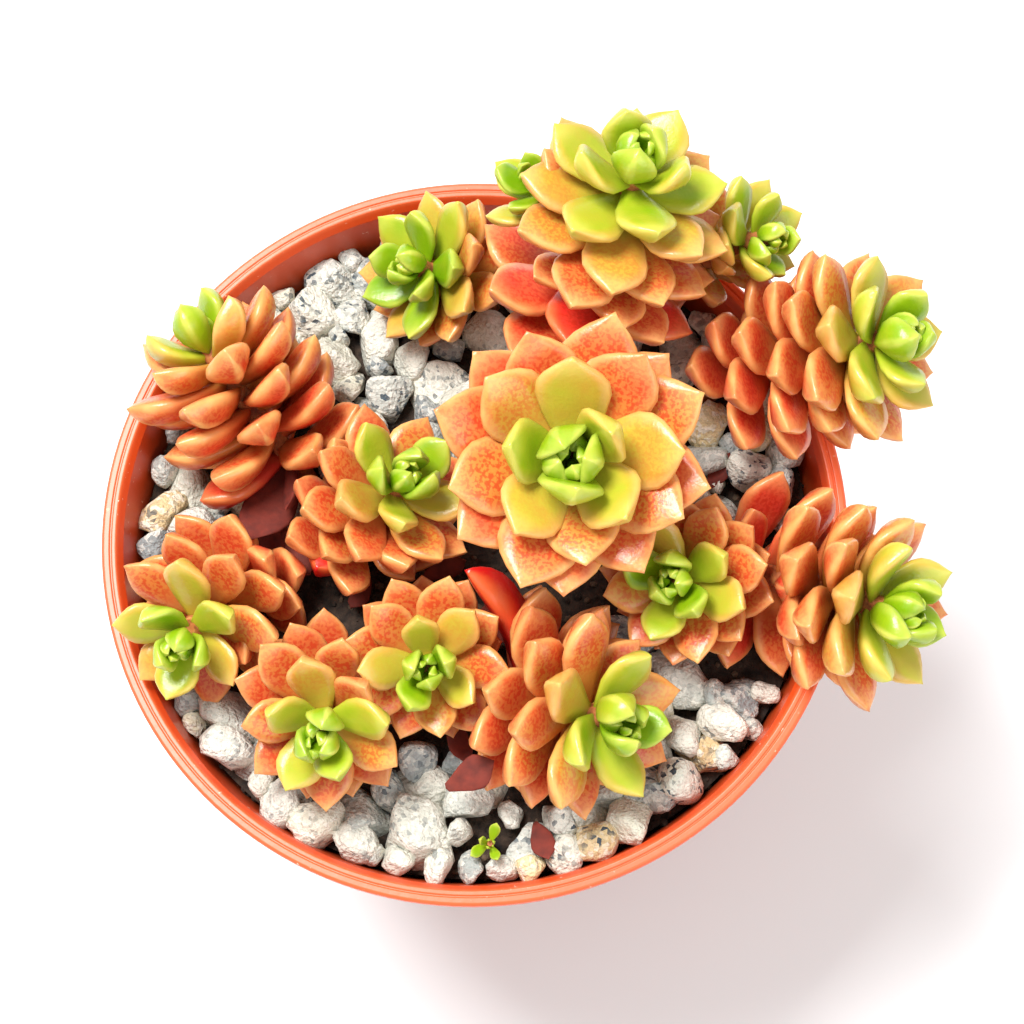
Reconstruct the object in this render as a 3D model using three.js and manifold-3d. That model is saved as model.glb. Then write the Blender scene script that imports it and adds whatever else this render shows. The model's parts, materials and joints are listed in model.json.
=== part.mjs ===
// A potted little gem cremnosedum: a clump of small fleshy rosettes on short leaning stems,
// in a round plastic nursery pot that is topped with pale gravel.
// Millimetres, +Z up, origin at the middle of the pot's underside. +Y is away from the viewer.
import * as THREE from 'three';
import { mergeVertices } from 'three/addons/utils/BufferGeometryUtils.js';
import Module from 'manifold-3d';

const wasm = await Module();
wasm.setup();

// Driving dimensions of the pot
const POT_HEIGHT = 78;
const RIM_RADIUS = 45;
const BASE_RADIUS = 31;
const WALL = 1.1;
const COLLAR_DROP = 13;
const COLLAR_STEP = 1.6;
const LIP_DROP = 1.6;
const RIM_WIDTH = 2.5;
const FLOOR_THICKNESS = 1.6;
const BASE_LIFT = 1.5;
const DRAIN_HOLES = 8;
const DRAIN_RADIUS = 2.6;
const DRAIN_RING = 22.5;
const DRAIN_SIDES = 6;
const POT_SIDES = 30;

// Driving dimensions of the filling
const FIT_GAP = 0.3;
const SOIL_TOP = 64;
const BED_TOP = 70;
const HEAP = 0.03;
const STONE_SIZE = 6.6;
const STONE_SPACING = 7.3;
const STONE_RINGS = 3;

// Driving dimensions of the plant
const GOLDEN_ANGLE = 137.508;
const STEM_RADIUS = 1.25;
const STEM_SIDES = 5;
const STEM_STEPS = 24;
const STEM_RINGS = 4;
const FOOT_DEPTH = 58;
const LEAF_CLEARANCE = 0.3;

// How a leaf differs from the youngest (a bud) to a grown one. SHUT is a bud's lean off the stem in
// degrees, OPENING the ripeness at which leaves fall open, and a jitter is the most that a draw adds.
const SHUT = 4;
const OPENING = 0.34;
const BUD_SPREAD = 0.7;
const BUD_LENGTH = 0.3;
const BUD_BREADTH = 1.4;
const GROWN_BREADTH = 1.04;
const BUD_FLESH = 1.5;
const BUD_BEND = 100;
const GROWN_BEND = 24;
const FIRST_BELOW = 0.4;
const CROWDING = 1.25;
const ROOT_OUT = 0.3;
const TURN_JITTER = 4;
const OPEN_JITTER = 3;
const LENGTH_JITTER = 0.05;

// The leafy shoots. foot is where the stem stands in the soil, or on the stem that it joins. crown is
// the growing tip, and faces is the way it looks (degrees round from +X, degrees above level). leafy is
// how far down the stem the leaves go, grown is the leaf at which they reach full size, and start is
// the youngest leaf's place round the stem. The first shoots hold their place and later ones give way.
const SHOOTS = [
  { name: 'rosette_middle', foot: [9, 3], crown: [12, 3, 100], faces: [-90, 70], leafy: 7,
    leaves: 27, grown: 18, length: 17, broad: 0.54, plump: 0.38, spread: 72, start: 70, turn: 1 },
  { name: 'rosette_back_tall', foot: [7, 22], crown: [19.5, 35.5, 105.5], faces: [60, 70], leafy: 24,
    leaves: 46, grown: 16, length: 13.5, broad: 0.56, plump: 0.42, spread: 86, start: 150, turn: -1 },
  { name: 'rosette_right_high', foot: [26, 19.5], crown: [49, 19, 93], faces: [-5, 45], leafy: 22.5,
    leaves: 46, grown: 14, length: 12.5, broad: 0.54, plump: 0.46, spread: 76, start: 175, turn: -1 },
  { name: 'rosette_front_middle', foot: [-5.5, -12], crown: [-5, -18.5, 87], faces: [-90, 70], leafy: 15,
    leaves: 29, grown: 12, length: 10.5, broad: 0.5, plump: 0.48, spread: 72, start: 70, turn: -1 },
  { name: 'rosette_middle_right', foot: [28, -3.5], crown: [24, -8.5, 87.5], faces: [-140, 65], leafy: 13,
    leaves: 30, grown: 12, length: 10.8, broad: 0.52, plump: 0.46, spread: 66, start: 180, turn: -1 },
  { name: 'rosette_right_low', foot: [29, 0], crown: [48.5, -12.5, 89.5], faces: [-20, 35], leafy: 26,
    leaves: 46, grown: 13, length: 13, broad: 0.48, plump: 0.52, spread: 64, start: 305, turn: 1 },
  { name: 'rosette_left_high', foot: [-19, 7.5], crown: [-32, 21.5, 86], faces: [125, 25], leafy: 19,
    leaves: 36, grown: 11, length: 12.4, broad: 0.48, plump: 0.58, spread: 70, start: 155, turn: 1 },
  { name: 'rosette_front_left', foot: [-19, -19], crown: [-17, -26, 87.5], faces: [-100, 50], leafy: 18,
    leaves: 32, grown: 13, length: 11.5, broad: 0.5, plump: 0.48, spread: 74, start: 130, turn: -1 },
  { name: 'rosette_front', foot: [2, -15], crown: [16, -25, 88], faces: [-25, 40], leafy: 20,
    leaves: 41, grown: 12, length: 13, broad: 0.48, plump: 0.52, spread: 74, start: 115, turn: -1 },
  { name: 'rosette_left_low', foot: [-24, 1], crown: [-33.5, -15, 86], faces: [-105, 50], leafy: 22,
    leaves: 34, grown: 12, length: 11.2, broad: 0.5, plump: 0.48, spread: 76, start: 305, turn: 1 },
  { name: 'rosette_middle_left', foot: [-19.5, -0.5], crown: [-8, 3.5, 88], faces: [20, 65], leafy: 17,
    leaves: 32, grown: 13, length: 11.5, broad: 0.5, plump: 0.5, spread: 70, start: 260, turn: -1 },
  { name: 'rosette_back_left', foot: [3, 31], crown: [-7, 32, 83], faces: [195, 45], leafy: 9,
    leaves: 24, grown: 11, length: 10.5, broad: 0.5, plump: 0.5, spread: 72, start: 180, turn: 1 },
  { name: 'rosette_back_right', foot: [22.5, 27], crown: [35, 32, 91], faces: [-20, 40], leafy: 13.5,
    leaves: 26, grown: 9, length: 9, broad: 0.52, plump: 0.5, spread: 66, start: 205, turn: -1 },
  { name: 'rosette_back_tall_offset', foot: [14, 31, 88], crown: [8, 36.5, 99], faces: [160, 60], leafy: 5,
    leaves: 12, grown: 6, length: 8.5, broad: 0.56, plump: 0.44, spread: 55, start: 20, turn: 1,
    stem: 0.9, joins: 'rosette_back_tall' },
  { name: 'seedling', foot: [2, -37], crown: [2, -37.5, 76.5], faces: [-90, 80], leafy: 1.5,
    leaves: 5, grown: 3, length: 2.7, broad: 0.5, plump: 0.48, spread: 60, start: 20, turn: 1, stem: 0.4 },
];

// Single old leaves that point their own way: the shoot, how far below its crown they sit, where the
// tip is, and the way they curl.
const OLD_LEAVES = [
  { on: 'rosette_front', below: 18.5, tip: [-0.5, -7, 86.5], curls: [-1, -0.4, 0.2], broad: 0.3, plump: 0.8,
    bend: 50 },
  { on: 'rosette_left_high', below: 19, tip: [-26, -1.5, 79], curls: [0, 0, 1], broad: 0.5, plump: 0.26,
    bend: 25 },
  { on: 'rosette_left_high', below: 17.5, tip: [-22.5, 2, 80.5], curls: [-1, 0, 1], broad: 0.26, plump: 0.5,
    bend: 40 },
  { on: 'rosette_middle_left', below: 15, tip: [-18.5, -5, 79.5], curls: [0, 0, 1], broad: 0.7, plump: 0.6,
    bend: 30 },
];

// Dry leaves that lie on the stones, by their middle and the height that they drop from. turned is the
// way they point, round from +X, and curl is how far they roll up.
const DRY_LEAVES = [
  { name: 'dry_leaf_by_rim', at: [-38.8, 0.5, 82], length: 6, width: 4, thick: 1.2,
    turned: -100, curl: 30 },
  { name: 'dry_leaf_front', at: [0, -30.5, 82], length: 6.5, width: 4.2, thick: 1,
    turned: 30, curl: 40 },
  { name: 'dry_leaf_front_right', at: [8, -37, 80], length: 5, width: 3, thick: 1,
    turned: -70, curl: 40 },
];

const radians = (degrees) => (degrees * Math.PI) / 180;
const mix = (a, b, share) => a + (b - a) * share;
const clamp = (value, low, high) => Math.min(high, Math.max(low, value));
const vec = (x, y, z) => new THREE.Vector3(x, y, z);

// A repeatable draw from -1 to 1 for a pair of whole numbers.
function draw(a, b) {
  const wave = Math.sin(a * 12.9898 + b * 78.233 + 4.17) * 4375.8543;
  return 2 * (wave - Math.floor(wave)) - 1;
}

// Solids

function solidOf(geometry) {
  const bare = geometry.clone();
  bare.deleteAttribute('normal');
  bare.deleteAttribute('uv');
  const merged = mergeVertices(bare, 1e-4);
  const mesh = new wasm.Mesh({
    numProp: 3,
    vertProperties: new Float32Array(merged.attributes.position.array),
    triVerts: new Uint32Array(merged.index.array),
  });
  return new wasm.Manifold(mesh);
}

// The largest of the bodies that a solid falls into. Crumbs and sealed hollows are dropped.
function mainBody(solid) {
  const bodies = solid.decompose();
  return bodies.reduce((largest, body) => (body.volume() > largest.volume() ? body : largest));
}

function geometryOf(solid) {
  const mesh = solid.getMesh();
  const geometry = new THREE.BufferGeometry();
  geometry.setAttribute('position', new THREE.BufferAttribute(mesh.vertProperties, mesh.numProp));
  geometry.setIndex(new THREE.BufferAttribute(mesh.triVerts, 1));
  geometry.computeVertexNormals();
  return geometry;
}

// A closed skin over rings of points that run round the way from start to end. Each ring has the same
// number of points, and both ends close on a single point.
function loft(start, rings, end) {
  const sides = rings[0].length;
  const points = [start, ...rings.flat(), end];
  const last = points.length - 1;
  const faces = [];
  const at = (ring, side) => 1 + ring * sides + (side % sides);
  for (let side = 0; side < sides; side++) {
    faces.push(0, at(0, side + 1), at(0, side));
    faces.push(last, at(rings.length - 1, side), at(rings.length - 1, side + 1));
    for (let ring = 0; ring + 1 < rings.length; ring++) {
      faces.push(at(ring, side), at(ring, side + 1), at(ring + 1, side));
      faces.push(at(ring, side + 1), at(ring + 1, side + 1), at(ring + 1, side));
    }
  }
  const geometry = new THREE.BufferGeometry().setFromPoints(points);
  geometry.setIndex(faces);
  return geometry;
}

// A solid of revolution about the upright axis, from points of radius and height.
function turned(profile, sides) {
  const lathe = new THREE.LatheGeometry(profile.map(([r, z]) => new THREE.Vector2(r, z)), sides);
  return lathe.rotateX(Math.PI / 2);
}

// The pot

const LEDGE = POT_HEIGHT - COLLAR_DROP;
const LEDGE_RADIUS = mix(BASE_RADIUS, RIM_RADIUS - 1.2, LEDGE / POT_HEIGHT) - WALL - COLLAR_STEP;
const FLOOR_TOP = BASE_LIFT + FLOOR_THICKNESS;

// The inside of the wall is a cone up to the ledge and a wider collar above it.
function innerRadiusAt(z) {
  if (z < LEDGE) return mix(BASE_RADIUS - WALL, LEDGE_RADIUS, z / LEDGE);
  const up = clamp((z - LEDGE - 1) / (COLLAR_DROP - 2.2), 0, 1);
  return mix(LEDGE_RADIUS + COLLAR_STEP, RIM_RADIUS - RIM_WIDTH, up);
}

function makePot() {
  const profile = [
    [0, 0],
    [14, 0],
    [15, BASE_LIFT],
    [27.6, BASE_LIFT],
    [28.4, 0],
    [BASE_RADIUS, 0],
    [LEDGE_RADIUS + WALL, LEDGE - 1.5],
    [LEDGE_RADIUS + COLLAR_STEP + WALL, LEDGE],
    [RIM_RADIUS - 0.9, POT_HEIGHT - LIP_DROP],
    [RIM_RADIUS, POT_HEIGHT - LIP_DROP + 0.3],
    [RIM_RADIUS, POT_HEIGHT - 0.3],
    [RIM_RADIUS - 0.3, POT_HEIGHT],
    [RIM_RADIUS - 0.95, POT_HEIGHT],
    [RIM_RADIUS - 1.1, POT_HEIGHT - 0.4],
    [RIM_RADIUS - 1.25, POT_HEIGHT],
    [RIM_RADIUS - 1.75, POT_HEIGHT],
    [RIM_RADIUS - RIM_WIDTH, POT_HEIGHT - 1.2],
    [LEDGE_RADIUS + COLLAR_STEP, LEDGE + 1],
    [LEDGE_RADIUS, LEDGE - 0.5],
    [innerRadiusAt(FLOOR_TOP), FLOOR_TOP],
    [0, FLOOR_TOP],
  ];
  let pot = solidOf(turned(profile, POT_SIDES));
  for (let hole = 0; hole < DRAIN_HOLES; hole++) {
    const angle = (2 * Math.PI * (hole + 0.5)) / DRAIN_HOLES;
    const drill = new THREE.CylinderGeometry(DRAIN_RADIUS, DRAIN_RADIUS, 12, DRAIN_SIDES);
    drill.rotateX(Math.PI / 2);
    drill.translate(DRAIN_RING * Math.cos(angle), DRAIN_RING * Math.sin(angle), 3);
    pot = pot.subtract(solidOf(drill));
  }
  return pot;
}

// Stems

// The stem's line as points from the foot to the crown, with the way it runs and its distance below
// the crown at each.
function stemLine(shoot) {
  const [turnDegrees, riseDegrees] = shoot.faces;
  const rise = radians(riseDegrees);
  const turn = radians(turnDegrees);
  const lean = vec(Math.cos(rise) * Math.cos(turn), Math.cos(rise) * Math.sin(turn), Math.sin(rise));
  const foot = vec(shoot.foot[0], shoot.foot[1], shoot.foot[2] ?? FOOT_DEPTH);
  const crown = vec(...shoot.crown);
  const reach = foot.distanceTo(crown) * 0.38;
  const curve = new THREE.CubicBezierCurve3(
    foot,
    foot.clone().add(vec(0, 0, reach)),
    crown.clone().addScaledVector(lean, -reach),
    crown,
  );
  const points = [];
  for (let step = 0; step <= STEM_STEPS; step++) {
    const share = step / STEM_STEPS;
    points.push({ at: curve.getPoint(share), along: curve.getTangent(share), below: 0 });
  }
  for (let step = STEM_STEPS - 1; step >= 0; step--) {
    points[step].below = points[step + 1].below + points[step].at.distanceTo(points[step + 1].at);
  }
  const side = vec(-Math.sin(turn), Math.cos(turn), 0);
  return { points, side, radius: shoot.stem ?? STEM_RADIUS };
}

// The place on a stem that is a distance below its crown: the point, the way up the stem, and two
// directions across it.
function placeOnStem(line, below) {
  const { points, side } = line;
  let step = points.length - 2;
  while (step > 0 && points[step].below < below) step--;
  const lower = points[step];
  const upper = points[step + 1];
  const share = clamp((lower.below - below) / (lower.below - upper.below), 0, 1);
  const at = lower.at.clone().lerp(upper.at, share);
  const along = lower.along.clone().lerp(upper.along, share).normalize();
  const across = side.clone().addScaledVector(along, -side.dot(along)).normalize();
  return { at, along, across, over: along.clone().cross(across) };
}

// A stem keeps its thickness up to the crown and ends there in a low cone. gap widens it to a hole.
function stemSolid(line, gap) {
  const radius = line.radius + gap;
  const rings = [];
  for (let step = 0; step <= STEM_STEPS; step += STEM_STEPS / STEM_RINGS) {
    const { at, below } = line.points[step];
    const stem = placeOnStem(line, below);
    const girth = step === STEM_STEPS ? radius * 0.8 : radius;
    const ring = [];
    for (let side = 0; side < STEM_SIDES; side++) {
      const angle = (2 * Math.PI * side) / STEM_SIDES;
      const spot = at.clone();
      spot.addScaledVector(stem.across, girth * Math.cos(angle));
      spot.addScaledVector(stem.over, girth * Math.sin(angle));
      ring.push(spot);
    }
    rings.push(ring);
  }
  const top = line.points[STEM_STEPS];
  return solidOf(loft(line.points[0].at, rings, top.at.clone().addScaledVector(top.along, radius)));
}

// Leaves

// A leaf is widest past its middle and ends in a short point. Both shapes run from 0 at the stem to
// 1 at the tip. Its flesh lies partly above its mid-line and mostly in the keel below.
const WIDEST = 0.62;
const ABOVE = 0.27;
const KEEL = 0.73;

function outlineAt(share) {
  if (share < WIDEST) return mix(0.25, 1, Math.sin((Math.PI / 2) * (share / WIDEST)) ** 1.2);
  const end = (share - WIDEST) / (1 - WIDEST);
  return Math.max(1 - (end / 0.95) ** 2, 1.2 * (1 - end));
}

function fleshAt(share) {
  if (share < WIDEST) return mix(0.4, 1, Math.sin((Math.PI / 2) * (share / WIDEST)));
  return 1 - ((share - WIDEST) / (1 - WIDEST)) ** 3;
}

// A point of a leaf from its share of the length, its distance sideways and its height off the mid-line.
function pointOnLeaf(leaf, share, sideways, height) {
  const radius = leaf.length / leaf.bend;
  const bent = share * leaf.bend;
  return leaf.base
    .clone()
    .addScaledVector(leaf.sideways, sideways)
    .addScaledVector(leaf.forward, (radius - height) * Math.sin(bent))
    .addScaledVector(leaf.upward, radius - (radius - height) * Math.cos(bent));
}

const SKIN_SHARES = [0.1, 0.25, 0.4, 0.52, 0.64, 0.76, 0.88];
const SKIN_SIDES = [-1, -0.5, 0, 0.5, 1];

function skinPoints(leaf) {
  const points = [pointOnLeaf(leaf, 1, 0, 0)];
  for (const share of SKIN_SHARES) {
    const half = leaf.half * outlineAt(share);
    const flesh = leaf.flesh * fleshAt(share);
    for (const side of SKIN_SIDES) {
      const round = 1 - side * side;
      points.push(pointOnLeaf(leaf, share, side * half, ABOVE * flesh * round));
      points.push(pointOnLeaf(leaf, share, side * half, -KEEL * flesh * round));
    }
  }
  return points;
}

// The leaf starts out along forward and bends towards upward.
function makeLeaf(base, forward, upward, length, half, flesh, bend, ripe) {
  const sideways = forward.clone().cross(upward);
  const leaf = { base, forward, upward, sideways, length, half, flesh, bend, ripe };
  leaf.middle = pointOnLeaf(leaf, 0.5, 0, 0);
  leaf.reach = length * 0.56;
  leaf.skin = skinPoints(leaf);
  return leaf;
}

// One leaf of a shoot, counted from the youngest. lift leans it towards the crown and trim shortens it.
function spiralLeaf(shoot, line, shootNumber, count, lift, trim) {
  const age = count / (shoot.leaves - 1);
  const ripe = Math.min(1, count / shoot.grown);
  const stem = placeOnStem(line, mix(FIRST_BELOW, shoot.leafy, age ** CROWDING));
  const spiral = shoot.start + shoot.turn * GOLDEN_ANGLE * count;
  const around = radians(spiral + TURN_JITTER * draw(shootNumber, count));
  const out = stem.across.clone().multiplyScalar(Math.cos(around));
  out.addScaledVector(stem.over, Math.sin(around));
  const jitter = 1 + LENGTH_JITTER * draw(shootNumber, count + 50);
  const length = shoot.length * mix(BUD_LENGTH, 1, ripe ** 0.55) * trim * jitter;
  const bend = radians(mix(BUD_BEND, GROWN_BEND, ripe ** 0.45));
  const fallen = 1 - Math.exp(-((ripe / OPENING) ** 3));
  const opened = mix(SHUT, shoot.spread * mix(BUD_SPREAD, 1, ripe), fallen);
  const open = opened + OPEN_JITTER * draw(shootNumber, count + 100) - lift;
  const angle = radians(clamp(open, 4, 110)) + bend / 2;
  const { at, along } = stem;
  const forward = along.clone().multiplyScalar(Math.cos(angle)).addScaledVector(out, Math.sin(angle));
  const upward = along.clone().multiplyScalar(Math.sin(angle)).addScaledVector(out, -Math.cos(angle));
  const base = at.clone().addScaledVector(out, ROOT_OUT);
  const half = (length * shoot.broad * mix(BUD_BREADTH, GROWN_BREADTH, ripe)) / 2;
  const flesh = length * shoot.broad * shoot.plump * mix(BUD_FLESH, 1, ripe ** 0.5);
  return makeLeaf(base, forward, upward, length, half, flesh, bend, ripe);
}

// An old leaf runs from its stem straight at its tip and curls to one side on the way.
function oldLeaf(row, line) {
  const { at } = placeOnStem(line, row.below);
  const span = vec(...row.tip).sub(at);
  const bend = radians(row.bend);
  const length = (span.length() * bend) / (2 * Math.sin(bend / 2));
  const chord = span.clone().normalize();
  const curls = vec(...row.curls);
  const inward = curls.addScaledVector(chord, -curls.dot(chord)).normalize();
  const lean = bend / 2;
  const forward = chord.clone().multiplyScalar(Math.cos(lean)).addScaledVector(inward, -Math.sin(lean));
  const upward = chord.clone().multiplyScalar(Math.sin(lean)).addScaledVector(inward, Math.cos(lean));
  const half = (length * row.broad) / 2;
  return makeLeaf(at, forward, upward, length, half, length * row.broad * row.plump, bend, 1);
}

// Whether a point lies in a leaf's flesh, or within a margin of it.
function inLeaf(leaf, point, margin) {
  const from = point.clone().sub(leaf.base);
  const sideways = Math.abs(from.dot(leaf.sideways));
  if (sideways > leaf.half + margin) return false;
  const radius = leaf.length / leaf.bend;
  const forward = from.dot(leaf.forward);
  const upward = radius - from.dot(leaf.upward);
  const share = (Math.atan2(forward, upward) * radius) / leaf.length;
  const slack = margin / leaf.length;
  if (share < -slack || share > 1 + slack) return false;
  const within = clamp(share, 0, 1);
  const half = leaf.half * outlineAt(within) + margin;
  if (sideways > half) return false;
  const round = 1 - (sideways / half) ** 2;
  const height = radius - Math.hypot(forward, upward);
  const flesh = leaf.flesh * fleshAt(within) * round;
  return height < ABOVE * flesh + margin && height > -KEEL * flesh - margin;
}

function leavesCross(one, other, margin) {
  if (one.middle.distanceTo(other.middle) > one.reach + other.reach + margin) return false;
  return (
    one.skin.some((point) => inLeaf(other, point, margin)) ||
    other.skin.some((point) => inLeaf(one, point, margin))
  );
}

function crossesStem(leaf, line, margin) {
  return line.points.some(({ at }) => {
    if (at.distanceTo(leaf.middle) > leaf.reach + line.radius + margin) return false;
    return inLeaf(leaf, at, line.radius + margin);
  });
}

// The plant stays clear of the pot's rim and of the bed.
function hitsPot(point) {
  const out = Math.hypot(point.x, point.y);
  if (point.z < BED_TOP - HEAP * point.y + 0.5 && out < RIM_RADIUS) return true;
  return point.z < POT_HEIGHT + 0.4 && out > innerRadiusAt(point.z) - 0.5 && out < RIM_RADIUS + 0.5;
}

// The changes that a crowded leaf tries, from the least to the most: leaning up or down, then shorter.
const YIELDS = [];
for (const trim of [1, 0.9, 0.8, 0.7, 0.6]) {
  for (const lift of [0, 8, -8, 16, -16, 24]) {
    YIELDS.push({ lift, trim, cost: Math.abs(lift) / 8 + (1 - trim) * 12 });
  }
}
YIELDS.sort((one, other) => one.cost - other.cost);

function growLeaves() {
  const lines = SHOOTS.map(stemLine);
  const grown = SHOOTS.map(() => []);
  for (const row of OLD_LEAVES) {
    const number = SHOOTS.findIndex((shoot) => shoot.name === row.on);
    grown[number].push(oldLeaf(row, lines[number]));
  }
  const fits = (leaf, number) =>
    !leaf.skin.some(hitsPot) &&
    !lines.some((line, other) => other !== number && crossesStem(leaf, line, LEAF_CLEARANCE)) &&
    !grown.some((leaves, other) => {
      return other !== number && leaves.some((taken) => leavesCross(leaf, taken, LEAF_CLEARANCE));
    });
  SHOOTS.forEach((shoot, number) => {
    for (let count = 0; count < shoot.leaves; count++) {
      for (const { lift, trim } of YIELDS) {
        const leaf = spiralLeaf(shoot, lines[number], number, count, lift, trim);
        if (!fits(leaf, number)) continue;
        grown[number].push(leaf);
        break;
      }
    }
  });
  return { lines, grown };
}

// Where along a leaf its solid has a ring of points. A bud makes do with one. The edges lie a share of
// the flesh above the mid-line.
const LEAF_RINGS = [0.6, 0.86];
const BUD_RINGS = [0.55];
const BUD_RIPE = 0.62;
const EDGE_LIFT = 0.11;
const ROOT_SHARE = -0.03;

// A leaf as a solid with a flat face above and a keel below.
function leafSolid(leaf) {
  const shares = leaf.ripe < BUD_RIPE ? BUD_RINGS : LEAF_RINGS;
  const rings = shares.map((share) => {
    const half = leaf.half * outlineAt(share);
    const flesh = leaf.flesh * fleshAt(share);
    return [
      pointOnLeaf(leaf, share, half, EDGE_LIFT * flesh),
      pointOnLeaf(leaf, share, 0, -KEEL * flesh),
      pointOnLeaf(leaf, share, -half, EDGE_LIFT * flesh),
    ];
  });
  return solidOf(loft(pointOnLeaf(leaf, ROOT_SHARE, 0, 0), rings, pointOnLeaf(leaf, 1, 0, 0)));
}

// A shoot and what joins it are one solid, with the leaves' roots sunk in the stem.
function shootSolid(name, lines, grown) {
  const pieces = [];
  SHOOTS.forEach((shoot, number) => {
    if (shoot.name !== name && shoot.joins !== name) return;
    pieces.push(stemSolid(lines[number], 0), ...grown[number].map(leafSolid));
  });
  return mainBody(wasm.Manifold.union(pieces));
}

// Soil and gravel

// A plug that fills the pot between two heights, a fitting gap inside its wall.
function plugGeometry(bottom, top) {
  const heights = [bottom, LEDGE - 0.6, LEDGE + 1.2, top].filter((z) => z >= bottom && z <= top);
  const profile = [[0, bottom], ...heights.map((z) => [innerRadiusAt(z) - FIT_GAP, z]), [0, top]];
  return turned(profile, POT_SIDES);
}

// The gravel's flat bed lies a little higher towards the front.
function bedSolid() {
  const bed = plugGeometry(SOIL_TOP, BED_TOP);
  const position = bed.attributes.position;
  for (let i = 0; i < position.count; i++) {
    if (position.getZ(i) > BED_TOP - 0.1) position.setZ(i, BED_TOP - HEAP * position.getY(i));
  }
  return solidOf(bed);
}

const KNOCK = 0.16;

// A stone is a twenty-sided lump with its corners knocked in and out.
function stoneSolid({ at, size, seed }) {
  const stone = new THREE.IcosahedronGeometry(1, 0);
  const position = stone.attributes.position;
  const knocks = new Map();
  for (let i = 0; i < position.count; i++) {
    const corner = vec(position.getX(i), position.getY(i), position.getZ(i));
    const key = [corner.x, corner.y, corner.z].map((n) => n.toFixed(3)).join();
    if (!knocks.has(key)) knocks.set(key, 1 + KNOCK * draw(seed, knocks.size));
    corner.multiplyScalar(knocks.get(key));
    position.setXYZ(i, corner.x, corner.y, corner.z);
  }
  stone.scale(size.x, size.y, size.z);
  stone.translate(at.x, at.y, at.z);
  return solidOf(stone);
}

function stoneHits(at, size, lines, grown) {
  const room = Math.max(size.x, size.y) + FIT_GAP;
  const nearStem = ({ points, radius }) => points.some((spot) => spot.at.distanceTo(at) < room + radius);
  if (lines.some(nearStem)) return true;
  const around = new THREE.IcosahedronGeometry(1 + KNOCK, 2).attributes.position;
  return grown.flat().some((leaf) => {
    if (leaf.middle.distanceTo(at) > leaf.reach + 1.2 * room + 1) return false;
    for (let i = 0; i < around.count; i++) {
      const spot = vec(around.getX(i), around.getY(i), around.getZ(i)).multiply(size).add(at);
      if (inLeaf(leaf, spot, 2 * LEAF_CLEARANCE)) return true;
    }
    return false;
  });
}

// Stones lie in rings from the wall inwards. One that would touch the plant lies deeper or is smaller.
function placeStones(lines, grown) {
  const stones = [];
  for (let ring = 0; ring < STONE_RINGS; ring++) {
    const wall = innerRadiusAt(BED_TOP) - FIT_GAP - ring * STONE_SPACING * 0.92;
    const places = Math.round((2 * Math.PI * (wall - STONE_SIZE / 2)) / STONE_SPACING);
    for (let place = 0; place < places; place++) {
      const seed = 1000 + ring * 60 + place;
      const half = (STONE_SIZE / 2) * (1 + 0.22 * draw(seed, 3));
      const out = wall - 1.22 * half - 0.5 * ring * (1 + draw(seed, 1));
      const angle = ((place + 0.5 * (ring % 2) + 0.14 * draw(seed, 2)) * 2 * Math.PI) / places;
      for (const yielded of [0, 0.25, 0.5, 0.75, 1]) {
        const size = vec(half * (1 + 0.04 * draw(seed, 4)), half, half * (0.82 + 0.12 * draw(seed, 5)));
        size.multiplyScalar(1 - 0.25 * yielded);
        const at = vec(out * Math.cos(angle), out * Math.sin(angle), 0);
        at.z = BED_TOP - HEAP * at.y + 0.5 * size.z + 0.4 * draw(seed, 6) - 1.6 * yielded;
        if (stoneHits(at, size, lines, grown)) continue;
        stones.push({ at, size, seed });
        break;
      }
    }
  }
  return stones;
}

// Dry leaves

// A shrunken leaf, rolled up along its length, with an uneven edge.
function dryLeafSolid(row, seed) {
  const curl = radians(row.curl);
  const radius = row.length / curl;
  const rings = [0.12, 0.38, 0.64, 0.86].map((share, ring) => {
    const half = (row.width / 2) * outlineAt(share) * (1 + 0.2 * draw(seed, ring));
    const angle = (share - 0.5) * curl;
    const spot = (side, height) => {
      return vec(radius * Math.sin(angle), side, radius - (radius - height) * Math.cos(angle) - row.thick);
    };
    return [
      spot(-half, row.thick * 0.9),
      spot(0, -row.thick * 0.3),
      spot(half, row.thick * (0.9 + 0.5 * draw(seed, ring + 9))),
      spot(0, row.thick * 0.6),
    ];
  });
  const along = radius * Math.sin(curl / 2);
  const height = radius * (1 - Math.cos(curl / 2)) - row.thick * 0.7;
  const leaf = loft(vec(-along, 0, height), rings, vec(along, 0, height));
  leaf.rotateZ(radians(row.turned));
  leaf.translate(...row.at);
  return solidOf(leaf);
}

// A piece is lowered until it would touch what lies under it, and stays a fitting gap above that.
function settle(piece, others) {
  const step = 0.2;
  const lowest = 20;
  let drop = 0;
  const touches = (down) => {
    const lowered = piece.translate([0, 0, -down]);
    return others.some((other) => !lowered.intersect(other).isEmpty());
  };
  while (drop < lowest && !touches(drop + 2 * step)) drop += step;
  return piece.translate([0, 0, -drop]);
}

// The whole plant

const LOOKS = {
  pot: { color: 0xe2703f, roughness: 0.5 },
  soil: { color: 0x2b2320, roughness: 0.95 },
  gravel: { color: 0xc9c6bd, roughness: 0.9 },
  leaves: { color: 0xd9824a, roughness: 0.45 },
  seedling: { color: 0x6f8a2e, roughness: 0.5 },
  dry_leaf: { color: 0x8a4030, roughness: 0.7 },
};

function meshOf(name, solid, look) {
  const material = new THREE.MeshStandardMaterial({ ...LOOKS[look], metalness: 0 });
  const mesh = new THREE.Mesh(geometryOf(solid), material);
  mesh.name = name;
  return mesh;
}

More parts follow.
